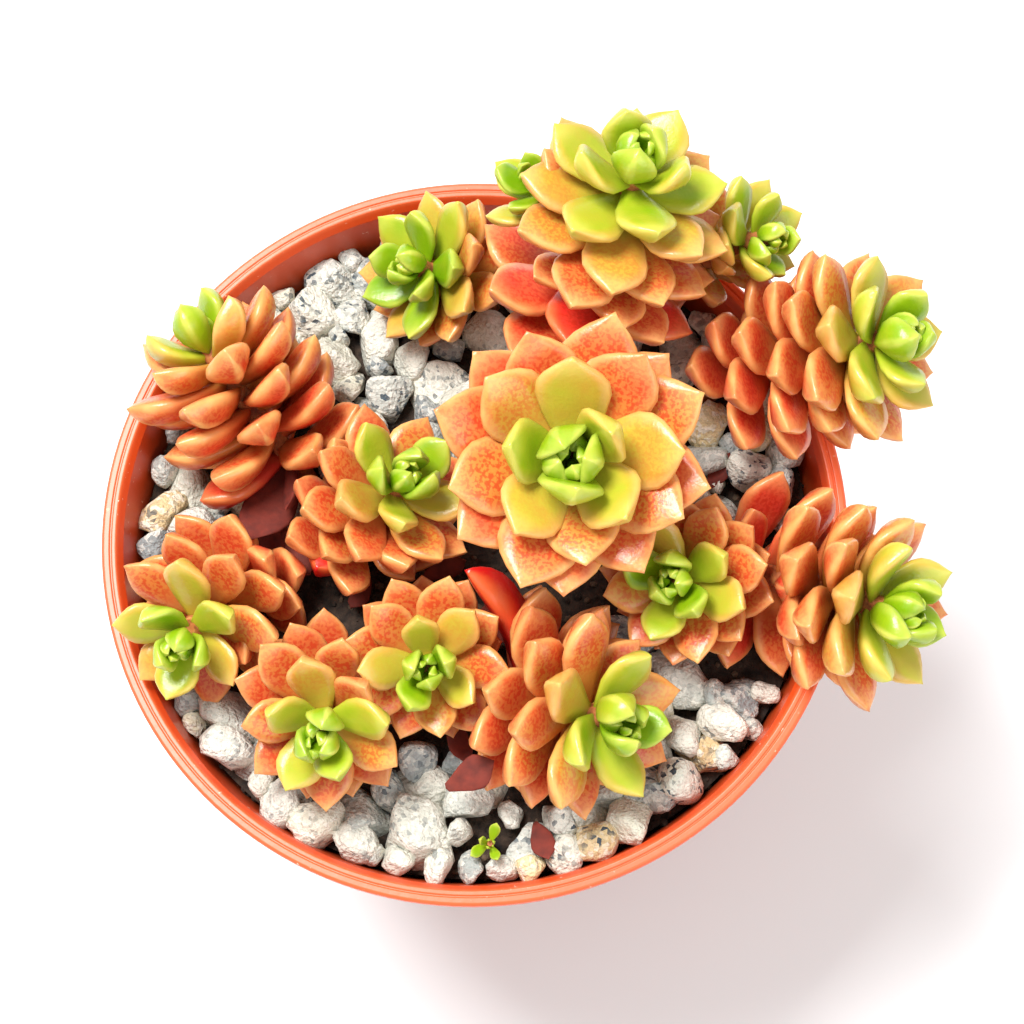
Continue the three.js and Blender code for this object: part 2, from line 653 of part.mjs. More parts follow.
function assemble() {
  const whole = new THREE.Group();
  const { lines, grown } = growLeaves();
  const pot = makePot();
  whole.add(meshOf('pot', pot, 'pot'));

  const holes = wasm.Manifold.union(lines.map((line) => stemSolid(line, FIT_GAP)));
  const soil = solidOf(plugGeometry(FLOOR_TOP, SOIL_TOP)).subtract(holes);
  whole.add(meshOf('potting_soil', soil, 'soil'));

  const stones = placeStones(lines, grown).map(stoneSolid);
  const gravel = mainBody(wasm.Manifold.union([bedSolid(), ...stones]).subtract(holes));
  whole.add(meshOf('gravel', gravel, 'gravel'));

  const solids = [pot, gravel];
  for (const { name, joins } of SHOOTS) {
    if (joins) continue;
    const shoot = shootSolid(name, lines, grown);
    solids.push(shoot);
    whole.add(meshOf(name, shoot, name === 'seedling' ? 'seedling' : 'leaves'));
  }

  DRY_LEAVES.forEach((row, number) => {
    const piece = settle(dryLeafSolid(row, 500 + number), solids);
    solids.push(piece);
    whole.add(meshOf(row.name, piece, 'dry_leaf'));
  });
  return whole;
}

export default assemble();
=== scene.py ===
# %% [markdown]
# # A potted little gem cremnosedum
# The plant is a clump of fat little rosettes on short stems that lean out of an orange nursery pot.
# Pale grit covers the soil. Everything here is made in metres, in the frame of the solid model.
# The solid model holds the true sizes, so each piece below is a finer body for one of its solids.

# %% Load the solid model
import json
import math

import bmesh
import bpy
import numpy as np
from mathutils import Matrix, Vector

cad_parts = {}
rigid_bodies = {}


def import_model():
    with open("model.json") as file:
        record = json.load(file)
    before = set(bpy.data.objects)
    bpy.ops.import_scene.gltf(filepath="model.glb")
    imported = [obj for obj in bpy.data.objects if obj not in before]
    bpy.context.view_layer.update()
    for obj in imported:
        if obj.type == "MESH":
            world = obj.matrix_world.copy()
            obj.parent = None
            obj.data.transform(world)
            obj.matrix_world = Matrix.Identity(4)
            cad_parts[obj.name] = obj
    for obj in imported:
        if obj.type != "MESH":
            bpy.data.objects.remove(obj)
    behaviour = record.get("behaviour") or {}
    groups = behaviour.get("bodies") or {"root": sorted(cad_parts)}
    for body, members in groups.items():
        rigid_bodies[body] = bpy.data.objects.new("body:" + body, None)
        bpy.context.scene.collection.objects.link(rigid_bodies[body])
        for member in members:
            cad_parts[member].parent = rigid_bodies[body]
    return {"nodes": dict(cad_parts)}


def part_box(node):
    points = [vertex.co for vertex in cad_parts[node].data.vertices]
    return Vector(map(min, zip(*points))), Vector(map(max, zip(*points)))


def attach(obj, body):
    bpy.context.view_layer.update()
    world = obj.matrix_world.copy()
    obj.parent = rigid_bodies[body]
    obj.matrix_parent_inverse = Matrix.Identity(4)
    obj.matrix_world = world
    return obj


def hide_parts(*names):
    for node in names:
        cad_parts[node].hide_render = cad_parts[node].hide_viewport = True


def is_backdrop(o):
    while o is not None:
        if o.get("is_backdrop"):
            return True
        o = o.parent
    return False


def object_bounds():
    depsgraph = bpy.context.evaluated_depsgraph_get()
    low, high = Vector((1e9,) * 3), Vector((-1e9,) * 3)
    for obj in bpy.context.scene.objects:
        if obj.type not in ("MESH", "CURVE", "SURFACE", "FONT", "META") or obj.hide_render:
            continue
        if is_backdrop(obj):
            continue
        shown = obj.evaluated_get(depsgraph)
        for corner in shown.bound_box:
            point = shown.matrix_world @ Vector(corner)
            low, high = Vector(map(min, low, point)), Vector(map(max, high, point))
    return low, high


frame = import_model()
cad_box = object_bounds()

scene = bpy.context.scene
MM = 0.001
print("solids:", len(frame["nodes"]))

# %% [markdown]
# ## Looking down at the pot
# The plant is seen from almost straight above, from a little in front and to the right. The camera's
# place and its long lens were worked out from the oval of the rim. The picture's upper edge is the
# pot's back, so the camera's up direction is set against +Y, which a tracking constraint can't do
# for a camera that looks this steeply down. A rotation matrix does it in three lines.

# %% Place the camera
camera_place = Vector((13.25, -83.76, 396.44)) * MM
camera_target = Vector((4.64, 2.39, 78)) * MM
forward = (camera_target - camera_place).normalized()
right = forward.cross(Vector((0, 1, 0))).normalized()
camera = bpy.data.objects.new("camera", bpy.data.cameras.new("camera"))
camera.matrix_world = Matrix((right, right.cross(forward), -forward)).transposed().to_4x4()
camera.location = camera_place
camera.data.lens = 96.2
camera.data.clip_start = 0.01
scene.collection.objects.link(camera)
scene.camera = camera
print("camera height above the rim, mm:", round((camera_place.z - 0.078) / MM))

# %% [markdown]
# ## Soft studio light
# The leaves show soft, broad highlights and hardly any hard shadow. One square light high above, a
# little to the back left, gives the highlights, and a weaker one fills the front. White surroundings
# lift the shadows. Area lights do this better than a sun, whose shadows would be hard.

# %% Lights
def make_light(name, place, target, size, power):
    light = bpy.data.objects.new(name, bpy.data.lights.new(name, "AREA"))
    light.data.size = size
    light.data.energy = power
    light.location = place
    light.rotation_euler = (Vector(target) - Vector(place)).to_track_quat("-Z", "Y").to_euler()
    scene.collection.objects.link(light)


rim_middle = (0, 0, 0.08)
make_light("window_light", (-0.22, 0.2, 0.8), rim_middle, size=0.3, power=9.5)
make_light("front_fill", (0.5, -0.5, 0.6), rim_middle, size=0.6, power=3)
world = bpy.data.worlds.new("studio")
world.use_nodes = True
world.node_tree.nodes["Background"].inputs["Color"].default_value = (1, 1, 1, 1)
world.node_tree.nodes["Background"].inputs["Strength"].default_value = 0.62
scene.world = world
scene.view_settings.view_transform = "Standard"

# %% [markdown]
# ## Small tools for node trees
# Geometry and materials are both built as node trees here. One helper adds a node and feeds its
# inputs, and the short ones after it stand for the sums that come up again and again. Colours are
# written as they look on a screen, from 0 to 255, and turned into the light values Blender mixes.

# %% Node helpers
def wire(tree, kind, inputs=(), **settings):
    node = tree.nodes.new(kind)
    for key, value in settings.items():
        setattr(node, key, value)
    for key, value in inputs.items() if isinstance(inputs, dict) else enumerate(inputs):
        if isinstance(value, bpy.types.NodeSocket):
            tree.links.new(value, node.inputs[key])
        elif value is not None:
            node.inputs[key].default_value = value
    return node


def sums(tree, operation, *values):
    return wire(tree, "ShaderNodeMath", values, operation=operation).outputs[0]


def times(tree, *values):
    return sums(tree, "MULTIPLY", *values)


def less(tree, *values):
    return sums(tree, "SUBTRACT", *values)


def vectors(tree, operation, *values):
    return wire(tree, "ShaderNodeVectorMath", values, operation=operation).outputs[0]


def scaled(tree, vector, factor):
    return wire(tree, "ShaderNodeVectorMath", {0: vector, "Scale": factor}, operation="SCALE").outputs[0]


def between(tree, value, low, high):
    inputs = {"Value": value, "From Min": low, "From Max": high}
    return wire(tree, "ShaderNodeMapRange", inputs, interpolation_type="SMOOTHSTEP").outputs[0]


def named(tree, name, kind="FLOAT"):
    return wire(tree, "GeometryNodeInputNamedAttribute", [name], data_type=kind).outputs[0]


def noise(tree, scale, detail, vector=None):
    inputs = {"Vector": vector, "Scale": scale, "Detail": detail}
    return wire(tree, "ShaderNodeTexNoise", inputs).outputs[0]

# %% [markdown]
# The geometry trees share some steps too: opening a tree with named inputs, pushing a surface in and
# out by noise, joining parts, giving them a material and closing the tree.

# %% Geometry helpers
def new_tree(name, sockets):
    tree = bpy.data.node_groups.new(name, "GeometryNodeTree")
    tree.is_modifier = True
    tree.interface.new_socket("Geometry", in_out="INPUT", socket_type="NodeSocketGeometry")
    for title, kind, value in sockets:
        socket = tree.interface.new_socket(title, in_out="INPUT", socket_type="NodeSocket" + kind)
        if value is not None:
            socket.default_value = value
    tree.interface.new_socket("Geometry", in_out="OUTPUT", socket_type="NodeSocketGeometry")
    return tree, tree.nodes.new("NodeGroupInput").outputs


def unevenness(tree, scale, detail, depth, middle=0.5):
    return times(tree, less(tree, noise(tree, scale, detail), middle), depth)


def pushed_out(tree, geometry, distance):
    normal = wire(tree, "GeometryNodeInputNormal").outputs[0]
    shift = {0: geometry, "Offset": scaled(tree, normal, distance)}
    return wire(tree, "GeometryNodeSetPosition", shift).outputs[0]


def joined(tree, *parts):
    node = tree.nodes.new("GeometryNodeJoinGeometry")
    for part in parts:
        tree.links.new(part, node.inputs[0])
    return node.outputs[0]


def coated(tree, geometry, material):
    return wire(tree, "GeometryNodeSetMaterial", {0: geometry, "Material": material}).outputs[0]


def finish_tree(tree, geometry, smooth=True):
    shaded = wire(tree, "GeometryNodeSetShadeSmooth", [geometry, None, smooth]).outputs[0]
    wire(tree, "NodeGroupOutput", [shaded])

# %% [markdown]
# A tree is run once, on a few points or an outline, and its result is kept as a plain mesh. Every
# piece can then be handed over alike, and its attributes stay for the materials to read.

# %% Turn a tree's result into a plain mesh
def mesh_of_points(name, points, edges=(), faces=(), **attributes):
    mesh = bpy.data.meshes.new(name)
    mesh.from_pydata([tuple(p) for p in points], list(edges), list(faces))
    for key, values in attributes.items():
        values = np.asarray(values, float)
        kind, field = ("FLOAT", "value") if values.ndim == 1 else ("FLOAT_VECTOR", "vector")
        mesh.attributes.new(key, kind, "POINT").data.foreach_set(field, values.ravel())
    return mesh


def tube_faces(rings, sides):
    faces = []
    last = 1 + (rings - 1) * sides
    for side in range(sides):
        after = (side + 1) % sides
        faces.append((0, 1 + after, 1 + side))
        faces.append((last + sides, last + side, last + after))
        for low in range(1, last, sides):
            high = low + sides
            faces.append((low + side, low + after, high + after, high + side))
    return faces


def build(name, start_mesh, tree, **inputs):
    piece = bpy.data.objects.new(name, start_mesh)
    scene.collection.objects.link(piece)
    modifier = piece.modifiers.new("build", "NODES")
    modifier.node_group = tree
    for socket in tree.interface.items_tree:
        key = socket.name.lower().replace(" ", "_")
        if socket.in_out == "INPUT" and key in inputs:
            modifier[socket.identifier] = inputs[key]
    bpy.context.view_layer.update()
    graph = bpy.context.evaluated_depsgraph_get()
    made = bpy.data.meshes.new_from_object(
        piece.evaluated_get(graph), preserve_all_data_layers=True, depsgraph=graph
    )
    piece.modifiers.clear()
    piece.data = made
    made.name = name
    return piece


def hand_over(piece, slot, *nodes):
    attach(piece, "root")
    if nodes:
        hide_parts(*nodes)
    piece.data.calc_loop_triangles()
    print(piece.name, "triangles:", len(piece.data.loop_triangles))

# %% [markdown]
# Materials need a few helpers of their own: for a colour as the eye sees it, for mixing, for a run
# of colours and for a rough surface.

# %% Material helpers
def paint(red, green, blue):
    shares = [part / 255 for part in (red, green, blue)]
    light = [c / 12.92 if c < 0.0404 else ((c + 0.055) / 1.055) ** 2.4 for c in shares]
    return (*light, 1)


def new_material(name, roughness):
    material = bpy.data.materials.new(name)
    material.use_nodes = True
    tree = material.node_tree
    shader = tree.nodes["Principled BSDF"]
    shader.inputs["Roughness"].default_value = roughness
    where = wire(tree, "ShaderNodeTexCoord").outputs["Object"]
    return material, tree, shader, where


def reading(tree, name):
    return wire(tree, "ShaderNodeAttribute", attribute_name=name).outputs["Fac"]


def mixed(tree, factor, one, other):
    inputs = {0: factor, 6: one, 7: other}
    return wire(tree, "ShaderNodeMix", inputs, data_type="RGBA").outputs[2]


def colour_ramp(tree, factor, stops):
    node = wire(tree, "ShaderNodeValToRGB", [factor])
    elements = node.color_ramp.elements
    while len(elements) < len(stops):
        elements.new(0.5)
    for element, (place, colour) in zip(elements, stops):
        element.position = place
        element.color = colour
    return node.outputs[0]


def roughen(tree, shader, height, distance, strength=1.0):
    inputs = {"Height": height, "Distance": distance, "Strength": strength}
    bump = wire(tree, "ShaderNodeBump", inputs).outputs[0]
    tree.links.new(bump, shader.inputs["Normal"])

# %% [markdown]
# The floor is one flat sheet, so it stays a plain mesh with a faint unevenness in its paint.

# %% The floor
floor_paint, tree, shader, where = new_material("floor_paint", 0.9)
pale = mixed(tree, noise(tree, 3, 2, where), (0.9, 0.9, 0.9, 1), (0.93, 0.93, 0.93, 1))
tree.links.new(pale, shader.inputs["Base Color"])
floor_corners = [(-2, -2, -0.0002), (2, -2, -0.0002), (2, 2, -0.0002), (-2, 2, -0.0002)]
floor = bpy.data.objects.new("floor", mesh_of_points("floor", floor_corners, faces=[(0, 1, 2, 3)]))
floor.data.materials.append(floor_paint)
scene.collection.objects.link(floor)
floor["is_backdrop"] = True

# %% [markdown]
# ## The rule the plant grows by
# Each leaf sits a golden angle round from the one before. Young leaves are short and stand upright,
# and older ones are longer and lean out. A leaf that would press into a neighbour leans or stays
# shorter. The solids were grown by this rule, so repeating it here puts every fine leaf where its
# plain solid is. The jitter is a fixed draw from whole numbers, so each run grows the same plant.

# %% Sizes of the pot and the plant, in millimetres
POT_HEIGHT = 78
RIM_RADIUS = 45
BASE_RADIUS = 31
WALL = 1.1
COLLAR_DROP = 13
COLLAR_STEP = 1.6
LIP_DROP = 1.6
RIM_WIDTH = 2.5
BASE_LIFT = 1.5
FLOOR_THICKNESS = 1.6
FIT_GAP = 0.3
SOIL_TOP = 64
BED_TOP = 70
HEAP = 0.03
GOLDEN_ANGLE = 137.508
STEM_RADIUS = 1.25
STEM_STEPS = 24
FOOT_DEPTH = 58
LEAF_CLEARANCE = 0.3
LEDGE = POT_HEIGHT - COLLAR_DROP


def mix(low, high, share):
    return low + (high - low) * share


def draw(a, b):
    wave = math.sin(a * 12.9898 + b * 78.233 + 4.17) * 4375.8543
    return 2 * (wave - math.floor(wave)) - 1


LEDGE_RADIUS = mix(BASE_RADIUS, RIM_RADIUS - 1.2, LEDGE / POT_HEIGHT) - WALL - COLLAR_STEP


def inner_radius(z):
    body = mix(BASE_RADIUS - WALL, LEDGE_RADIUS, z / LEDGE)
    up = np.clip((z - LEDGE - 1) / (COLLAR_DROP - 2.2), 0, 1)
    return np.where(z < LEDGE, body, mix(LEDGE_RADIUS + COLLAR_STEP, RIM_RADIUS - RIM_WIDTH, up))

# %% [markdown]
# Each row is one shoot: where its stem stands, where its growing tip is and which way it faces. Then
# come the length of stem that bears leaves, how many there are, and from which one on they are full
# grown. Next are a leaf's length, its breadth and flesh as shares, how far it leans out, and where the
# spiral starts and which way it turns. Leaves are counted from the youngest. The tones say up to which
# leaf they are fresh green, up to which they are yellow green, and from which on they are orange. What
# only some shoots have stands last: the reds are old leaves that have turned a clear red.

# %% The shoots
COLUMNS = ("name", "foot", "crown", "faces", "leafy", "leaves", "grown", "length", "broad", "plump",
           "spread", "start", "turn", "tones")
SHOOT_ROWS = [
    ("rosette_middle", (9, 3), (12, 3, 100), (-90, 70), 7, 27, 18, 17, 0.54, 0.38, 72, 70, 1,
     (4, 9, 13), {}),
    ("rosette_back_tall", (7, 22), (19.5, 35.5, 105.5), (60, 70), 24, 46, 16, 13.5, 0.56, 0.42, 86,
     150, -1, (4, 14, 24), {"reds": (37, 39)}),
    ("rosette_right_high", (26, 19.5), (49, 19, 93), (-5, 45), 22.5, 46, 14, 12.5, 0.54, 0.46, 76,
     175, -1, (5, 11, 15), {}),
    ("rosette_front_middle", (-5.5, -12), (-5, -18.5, 87), (-90, 70), 15, 29, 12, 10.5, 0.5, 0.48,
     72, 70, -1, (4, 7, 10), {}),
    ("rosette_middle_right", (28, -3.5), (24, -8.5, 87.5), (-140, 65), 13, 30, 12, 10.8, 0.52, 0.46,
     66, 180, -1, (5, 9, 13), {}),
    ("rosette_right_low", (29, 0), (48.5, -12.5, 89.5), (-20, 35), 26, 46, 13, 13, 0.48, 0.52, 64,
     305, 1, (5, 10, 14), {"reds": (45, 41)}),
    ("rosette_left_high", (-19, 7.5), (-32, 21.5, 86), (125, 25), 19, 36, 11, 12.4, 0.48, 0.58, 70,
     155, 1, (3, 5, 8), {"reds": (33,)}),
    ("rosette_front_left", (-19, -19), (-17, -26, 87.5), (-100, 50), 18, 32, 13, 11.5, 0.5, 0.48,
     74, 130, -1, (4, 8, 11), {}),
    ("rosette_front", (2, -15), (16, -25, 88), (-25, 40), 20, 41, 12, 13, 0.48, 0.52, 74, 115, -1,
     (5, 8, 11), {}),
    ("rosette_left_low", (-24, 1), (-33.5, -15, 86), (-105, 50), 22, 34, 12, 11.2, 0.5, 0.48, 76,
     305, 1, (4, 9, 12), {}),
    ("rosette_middle_left", (-19.5, -0.5), (-8, 3.5, 88), (20, 65), 17, 32, 13, 11.5, 0.5, 0.5, 70,
     260, -1, (5, 8, 11), {}),
    ("rosette_back_left", (3, 31), (-7, 32, 83), (195, 45), 9, 24, 11, 10.5, 0.5, 0.5, 72, 180, 1,
     (8, 11, 26), {}),
    ("rosette_back_right", (22.5, 27), (35, 32, 91), (-20, 40), 13.5, 26, 9, 9, 0.52, 0.5, 66, 205,
     -1, (4, 14, 26), {}),
    ("rosette_back_tall_offset", (14, 31, 88), (8, 36.5, 99), (160, 60), 5, 12, 6, 8.5, 0.56, 0.44,
     55, 20, 1, (8, 11, 30), {"stem": 0.9, "joins": "rosette_back_tall"}),
    ("seedling", (2, -37), (2, -37.5, 76.5), (-90, 80), 1.5, 5, 3, 2.7, 0.5, 0.48, 60, 20, 1,
     (5, 8, 12), {"stem": 0.4}),
]
SHOOTS = [{**dict(zip(COLUMNS, row)), **row[-1]} for row in SHOOT_ROWS]
print("shoots:", len(SHOOTS))

# Old leaves that point their own way. Those with dry=1 have withered on the stem.
OLD_LEAVES = [
    dict(on="rosette_front", below=18.5, tip=(-0.5, -7, 86.5), curls=(-1, -0.4, 0.2), broad=0.3,
         plump=0.8, bend=50, dry=0),
    dict(on="rosette_left_high", below=19, tip=(-26, -1.5, 79), curls=(0, 0, 1), broad=0.5,
         plump=0.26, bend=25, dry=1),
    dict(on="rosette_left_high", below=17.5, tip=(-22.5, 2, 80.5), curls=(-1, 0, 1), broad=0.26,
         plump=0.5, bend=40, dry=1),
    dict(on="rosette_middle_left", below=15, tip=(-18.5, -5, 79.5), curls=(0, 0, 1), broad=0.7,
         plump=0.6, bend=30, dry=0),
]

# %% [markdown]
# A stem rises straight from the soil and then bends the way its rosette faces. One smooth curve with
# four handles draws that, and leaves are placed by their way along it, measured from the tip.

# %% Stems
def stem_line(shoot):
    turn, rise = np.radians(shoot["faces"])
    lean = np.array([math.cos(rise) * math.cos(turn), math.cos(rise) * math.sin(turn), math.sin(rise)])
    foot = np.array((*shoot["foot"], FOOT_DEPTH)[:3], float)
    crown = np.array(shoot["crown"], float)
    reach = np.linalg.norm(crown - foot) * 0.38
    a, b, c, d = foot, foot + [0, 0, reach], crown - lean * reach, crown
    t = np.linspace(0, 1, STEM_STEPS + 1)[:, None]
    at = (1 - t) ** 3 * a + 3 * (1 - t) ** 2 * t * b + 3 * (1 - t) * t**2 * c + t**3 * d
    along = (1 - t) ** 2 * (b - a) + 2 * (1 - t) * t * (c - b) + t**2 * (d - c)
    along /= np.linalg.norm(along, axis=1)[:, None]
    steps = np.linalg.norm(np.diff(at, axis=0), axis=1)
    below = np.append(np.cumsum(steps[::-1])[::-1], 0)
    side = np.array([-math.sin(turn), math.cos(turn), 0])
    radius = shoot.get("stem", STEM_RADIUS)
    return {"at": at, "along": along, "below": below, "side": side, "radius": radius}


def place_on_stem(line, below):
    step = STEM_STEPS - 1
    while step > 0 and line["below"][step] < below:
        step -= 1
    low, high = line["below"][step], line["below"][step + 1]
    share = min(1, max(0, (low - below) / (low - high)))
    at = mix(line["at"][step], line["at"][step + 1], share)
    along = mix(line["along"][step], line["along"][step + 1], share)
    along /= np.linalg.norm(along)
    across = line["side"] - along * line["side"].dot(along)
    across /= np.linalg.norm(across)
    return at, along, across, np.cross(along, across)

# %% [markdown]
# A leaf is described by shares: 0 at its stem end and 1 at its tip. It is widest past its middle. Its
# flesh lies partly above its mid-line and mostly in the keel below, and it bends along an arc.

# %% The outline and the thickness of a leaf
WIDEST = 0.62
ABOVE = 0.27
KEEL = 0.73


def outline(share):
    widening = mix(0.25, 1, np.sin(np.pi / 2 * np.minimum(share, WIDEST) / WIDEST) ** 1.2)
    end = np.clip((share - WIDEST) / (1 - WIDEST), 0, 1)
    return np.where(share < WIDEST, widening, np.maximum(1 - (end / 0.95) ** 2, 1.2 * (1 - end)))


def thickness(share):
    widening = mix(0.4, 1, np.sin(np.pi / 2 * np.minimum(share, WIDEST) / WIDEST))
    end = np.clip((share - WIDEST) / (1 - WIDEST), 0, 1)
    return np.where(share < WIDEST, widening, 1 - end**3)


skin_grid = np.meshgrid(
    (0.1, 0.25, 0.4, 0.52, 0.64, 0.76, 0.88), (-1, -0.5, 0, 0.5, 1), (True, False), indexing="ij"
)
skin_shares, skin_sides, skin_above = (part.ravel() for part in skin_grid)


def on_leaf(leaf, share, side, height):
    share, side, height = (np.asarray(x, float)[..., None] for x in (share, side, height))
    radius = leaf["length"] / leaf["bend"]
    bent = share * leaf["bend"]
    ahead = leaf["forward"] * (radius - height) * np.sin(bent)
    up = leaf["upward"] * (radius - (radius - height) * np.cos(bent))
    return leaf["base"] + leaf["sideways"] * side + ahead + up


def make_leaf(base, forward, upward, length, half, flesh, bend, **more):
    leaf = {"base": base, "forward": forward, "upward": upward, "sideways": np.cross(forward, upward)}
    leaf.update(length=length, half=half, flesh=flesh, bend=bend, reach=0.56 * length, **more)
    leaf["middle"] = on_leaf(leaf, 0.5, 0, 0)
    fat = flesh * thickness(skin_shares) * (1 - skin_sides**2)
    height = np.where(skin_above, ABOVE * fat, -KEEL * fat)
    skin = on_leaf(leaf, skin_shares, skin_sides * half * outline(skin_shares), height)
    leaf["skin"] = np.vstack([on_leaf(leaf, [1], [0], [0]), skin])
    return leaf

# %% [markdown]
# From the bud outwards a leaf grows longer and flatter, and falls open. The values below say how a bud
# differs from a grown leaf: its lean off the stem in degrees, the ripeness at which leaves fall open,
# its share of the size, and its bend. A jitter is the most that a draw adds.

# %% A leaf of the spiral
SHUT = 4
OPENING = 0.34
BUD_SPREAD = 0.7
BUD_LENGTH = 0.3
BUD_BREADTH = 1.4
GROWN_BREADTH = 1.04
BUD_FLESH = 1.5
BUD_BEND = 100
GROWN_BEND = 24
MOST_OPEN = 110
FIRST_BELOW = 0.4
CROWDING = 1.25
ROOT_OUT = 0.3
TURN_JITTER = 4
OPEN_JITTER = 3
LENGTH_JITTER = 0.05


def spiral_leaf(shoot, line, number, count, lift, trim):
    age = count / (shoot["leaves"] - 1)
    ripe = min(1, count / shoot["grown"])
    at, along, across, over = place_on_stem(line, mix(FIRST_BELOW, shoot["leafy"], age**CROWDING))
    spiral = shoot["start"] + shoot["turn"] * GOLDEN_ANGLE * count
    around = math.radians(spiral + TURN_JITTER * draw(number, count))
    out = across * math.cos(around) + over * math.sin(around)
    jitter = 1 + LENGTH_JITTER * draw(number, count + 50)
    length = shoot["length"] * mix(BUD_LENGTH, 1, ripe**0.55) * trim * jitter
    bend = math.radians(mix(BUD_BEND, GROWN_BEND, ripe**0.45))
    fallen = 1 - math.exp(-((ripe / OPENING) ** 3))
    opened = mix(SHUT, shoot["spread"] * mix(BUD_SPREAD, 1, ripe), fallen)
    opened += OPEN_JITTER * draw(number, count + 100) - lift
    angle = math.radians(min(MOST_OPEN, max(SHUT, opened))) + bend / 2
    forward = along * math.cos(angle) + out * math.sin(angle)
    upward = along * math.sin(angle) - out * math.cos(angle)
    half = length * shoot["broad"] * mix(BUD_BREADTH, GROWN_BREADTH, ripe) / 2
    flesh = length * shoot["broad"] * shoot["plump"] * mix(BUD_FLESH, 1, ripe**0.5)
    base = at + ROOT_OUT * out
    return make_leaf(base, forward, upward, length, half, flesh, bend, count=count, dry=0)

# %% [markdown]
# An old leaf that has come loose no longer follows the spiral. Its row says where its tip is and which
# way it curls, and the bend in degrees gives its length.

# %% An old leaf
OLD_COUNT = 200


def old_leaf(row, line, number):
    at = place_on_stem(line, row["below"])[0]
    span = np.array(row["tip"]) - at
    bend = math.radians(row["bend"])
    far = np.linalg.norm(span)
    length = far * bend / (2 * math.sin(bend / 2))
    chord = span / far
    inward = np.array(row["curls"], float)
    inward -= chord * inward.dot(chord)
    inward /= np.linalg.norm(inward)
    forward = chord * math.cos(bend / 2) - inward * math.sin(bend / 2)
    upward = chord * math.sin(bend / 2) + inward * math.cos(bend / 2)
    half = length * row["broad"] / 2
    flesh = length * row["broad"] * row["plump"]
    kept = {"count": OLD_COUNT + number, "dry": row["dry"]}
    return make_leaf(at, forward, upward, length, half, flesh, bend, **kept)

# %% [markdown]
# To see whether two leaves press into each other, each is asked whether it holds any point of the
# other's skin. The point is first unrolled from the leaf's bend, so the test is a simple one.

# %% Crowding
def in_leaf(leaf, points, margin):
    away = points - leaf["base"]
    sideways = np.abs(away @ leaf["sideways"])
    radius = leaf["length"] / leaf["bend"]
    ahead, up = away @ leaf["forward"], radius - away @ leaf["upward"]
    share = np.arctan2(ahead, up) * radius / leaf["length"]
    slack = margin / leaf["length"]
    within = np.clip(share, 0, 1)
    half = leaf["half"] * outline(within) + margin
    inside = (share >= -slack) & (share <= 1 + slack) & (sideways <= half)
    height = radius - np.hypot(ahead, up)
    fat = leaf["flesh"] * thickness(within) * (1 - (sideways / half) ** 2)
    return inside & (height < ABOVE * fat + margin) & (height > -KEEL * fat - margin)


def leaves_cross(one, other, margin):
    if np.linalg.norm(one["middle"] - other["middle"]) > one["reach"] + other["reach"] + margin:
        return False
    return in_leaf(other, one["skin"], margin).any() or in_leaf(one, other["skin"], margin).any()


def crosses_stem(leaf, line, margin):
    near = np.linalg.norm(line["at"] - leaf["middle"], axis=1) <= leaf["reach"] + line["radius"] + margin
    return (in_leaf(leaf, line["at"], line["radius"] + margin) & near).any()


def hits_pot(points):
    x, y, z = points.T
    out = np.hypot(x, y)
    low = (z < BED_TOP - HEAP * y + 0.5) & (out < RIM_RADIUS)
    wall = (z < POT_HEIGHT + 0.4) & (out > inner_radius(z) - 0.5) & (out < RIM_RADIUS + 0.5)
    return (low | wall).any()


# What a crowded leaf tries, from the least change to the most: leaning up or down, then shorter.
TRIMS = (1, 0.9, 0.8, 0.7, 0.6)
LIFTS = (0, 8, -8, 16, -16, 24)
yields = [(abs(lift) / 8 + (1 - trim) * 12, lift, trim) for trim in TRIMS for lift in LIFTS]
yields.sort(key=lambda change: change[0])

# %% [markdown]
# The loose old leaves are placed first. Each shoot then grows from its heart outwards, and a leaf
# takes the first change with which it meets nothing.

# %% Grow every leaf
def grow():
    lines = [stem_line(shoot) for shoot in SHOOTS]
    grown = [[] for _ in SHOOTS]
    names = [shoot["name"] for shoot in SHOOTS]
    for number, row in enumerate(OLD_LEAVES):
        owner = names.index(row["on"])
        grown[owner].append(old_leaf(row, lines[owner], number))
    for number, shoot in enumerate(SHOOTS):
        rivals = [leaf for other, leaves in enumerate(grown) if other != number for leaf in leaves]
        stems = [line for other, line in enumerate(lines) if other != number]
        for count in range(shoot["leaves"]):
            for _, lift, trim in yields:
                leaf = spiral_leaf(shoot, lines[number], number, count, lift, trim)
                if hits_pot(leaf["skin"]):
                    continue
                if any(crosses_stem(leaf, line, LEAF_CLEARANCE) for line in stems):
                    continue
                if any(leaves_cross(leaf, rival, LEAF_CLEARANCE) for rival in rivals):
                    continue
                grown[number].append(leaf)
                break
    return lines, grown


stem_lines, grown_leaves = grow()
print("leaves:", sum(len(leaves) for leaves in grown_leaves))

# %% [markdown]
# ## One leaf
# A leaf is a fat wedge: nearly flat above, keeled below, blunt at the shoulders, with a short point.
# It could be sculpted, but every leaf is the same form stretched and bent, so one unit leaf will do.
# It is kept in plain shares: along the leaf, across it and through its thickness. It has few faces,
# because the plant repeats it hundreds of times.

# %% The unit leaf
leaf_rings = [0.0, 0.16, 0.38, 0.58, 0.7, 0.79, 0.87, 0.925, 0.965]
upper_side = [(0.99, 0.25), (0.9, 0.72), (0.5, 1.0), (-0.5, 1.0), (-0.9, 0.72), (-0.99, 0.25)]
under_side = [(-0.97, 0.08), (-0.6, 0.52), (-0.1, 0.95), (0.1, 0.95), (0.6, 0.52), (0.97, 0.08)]


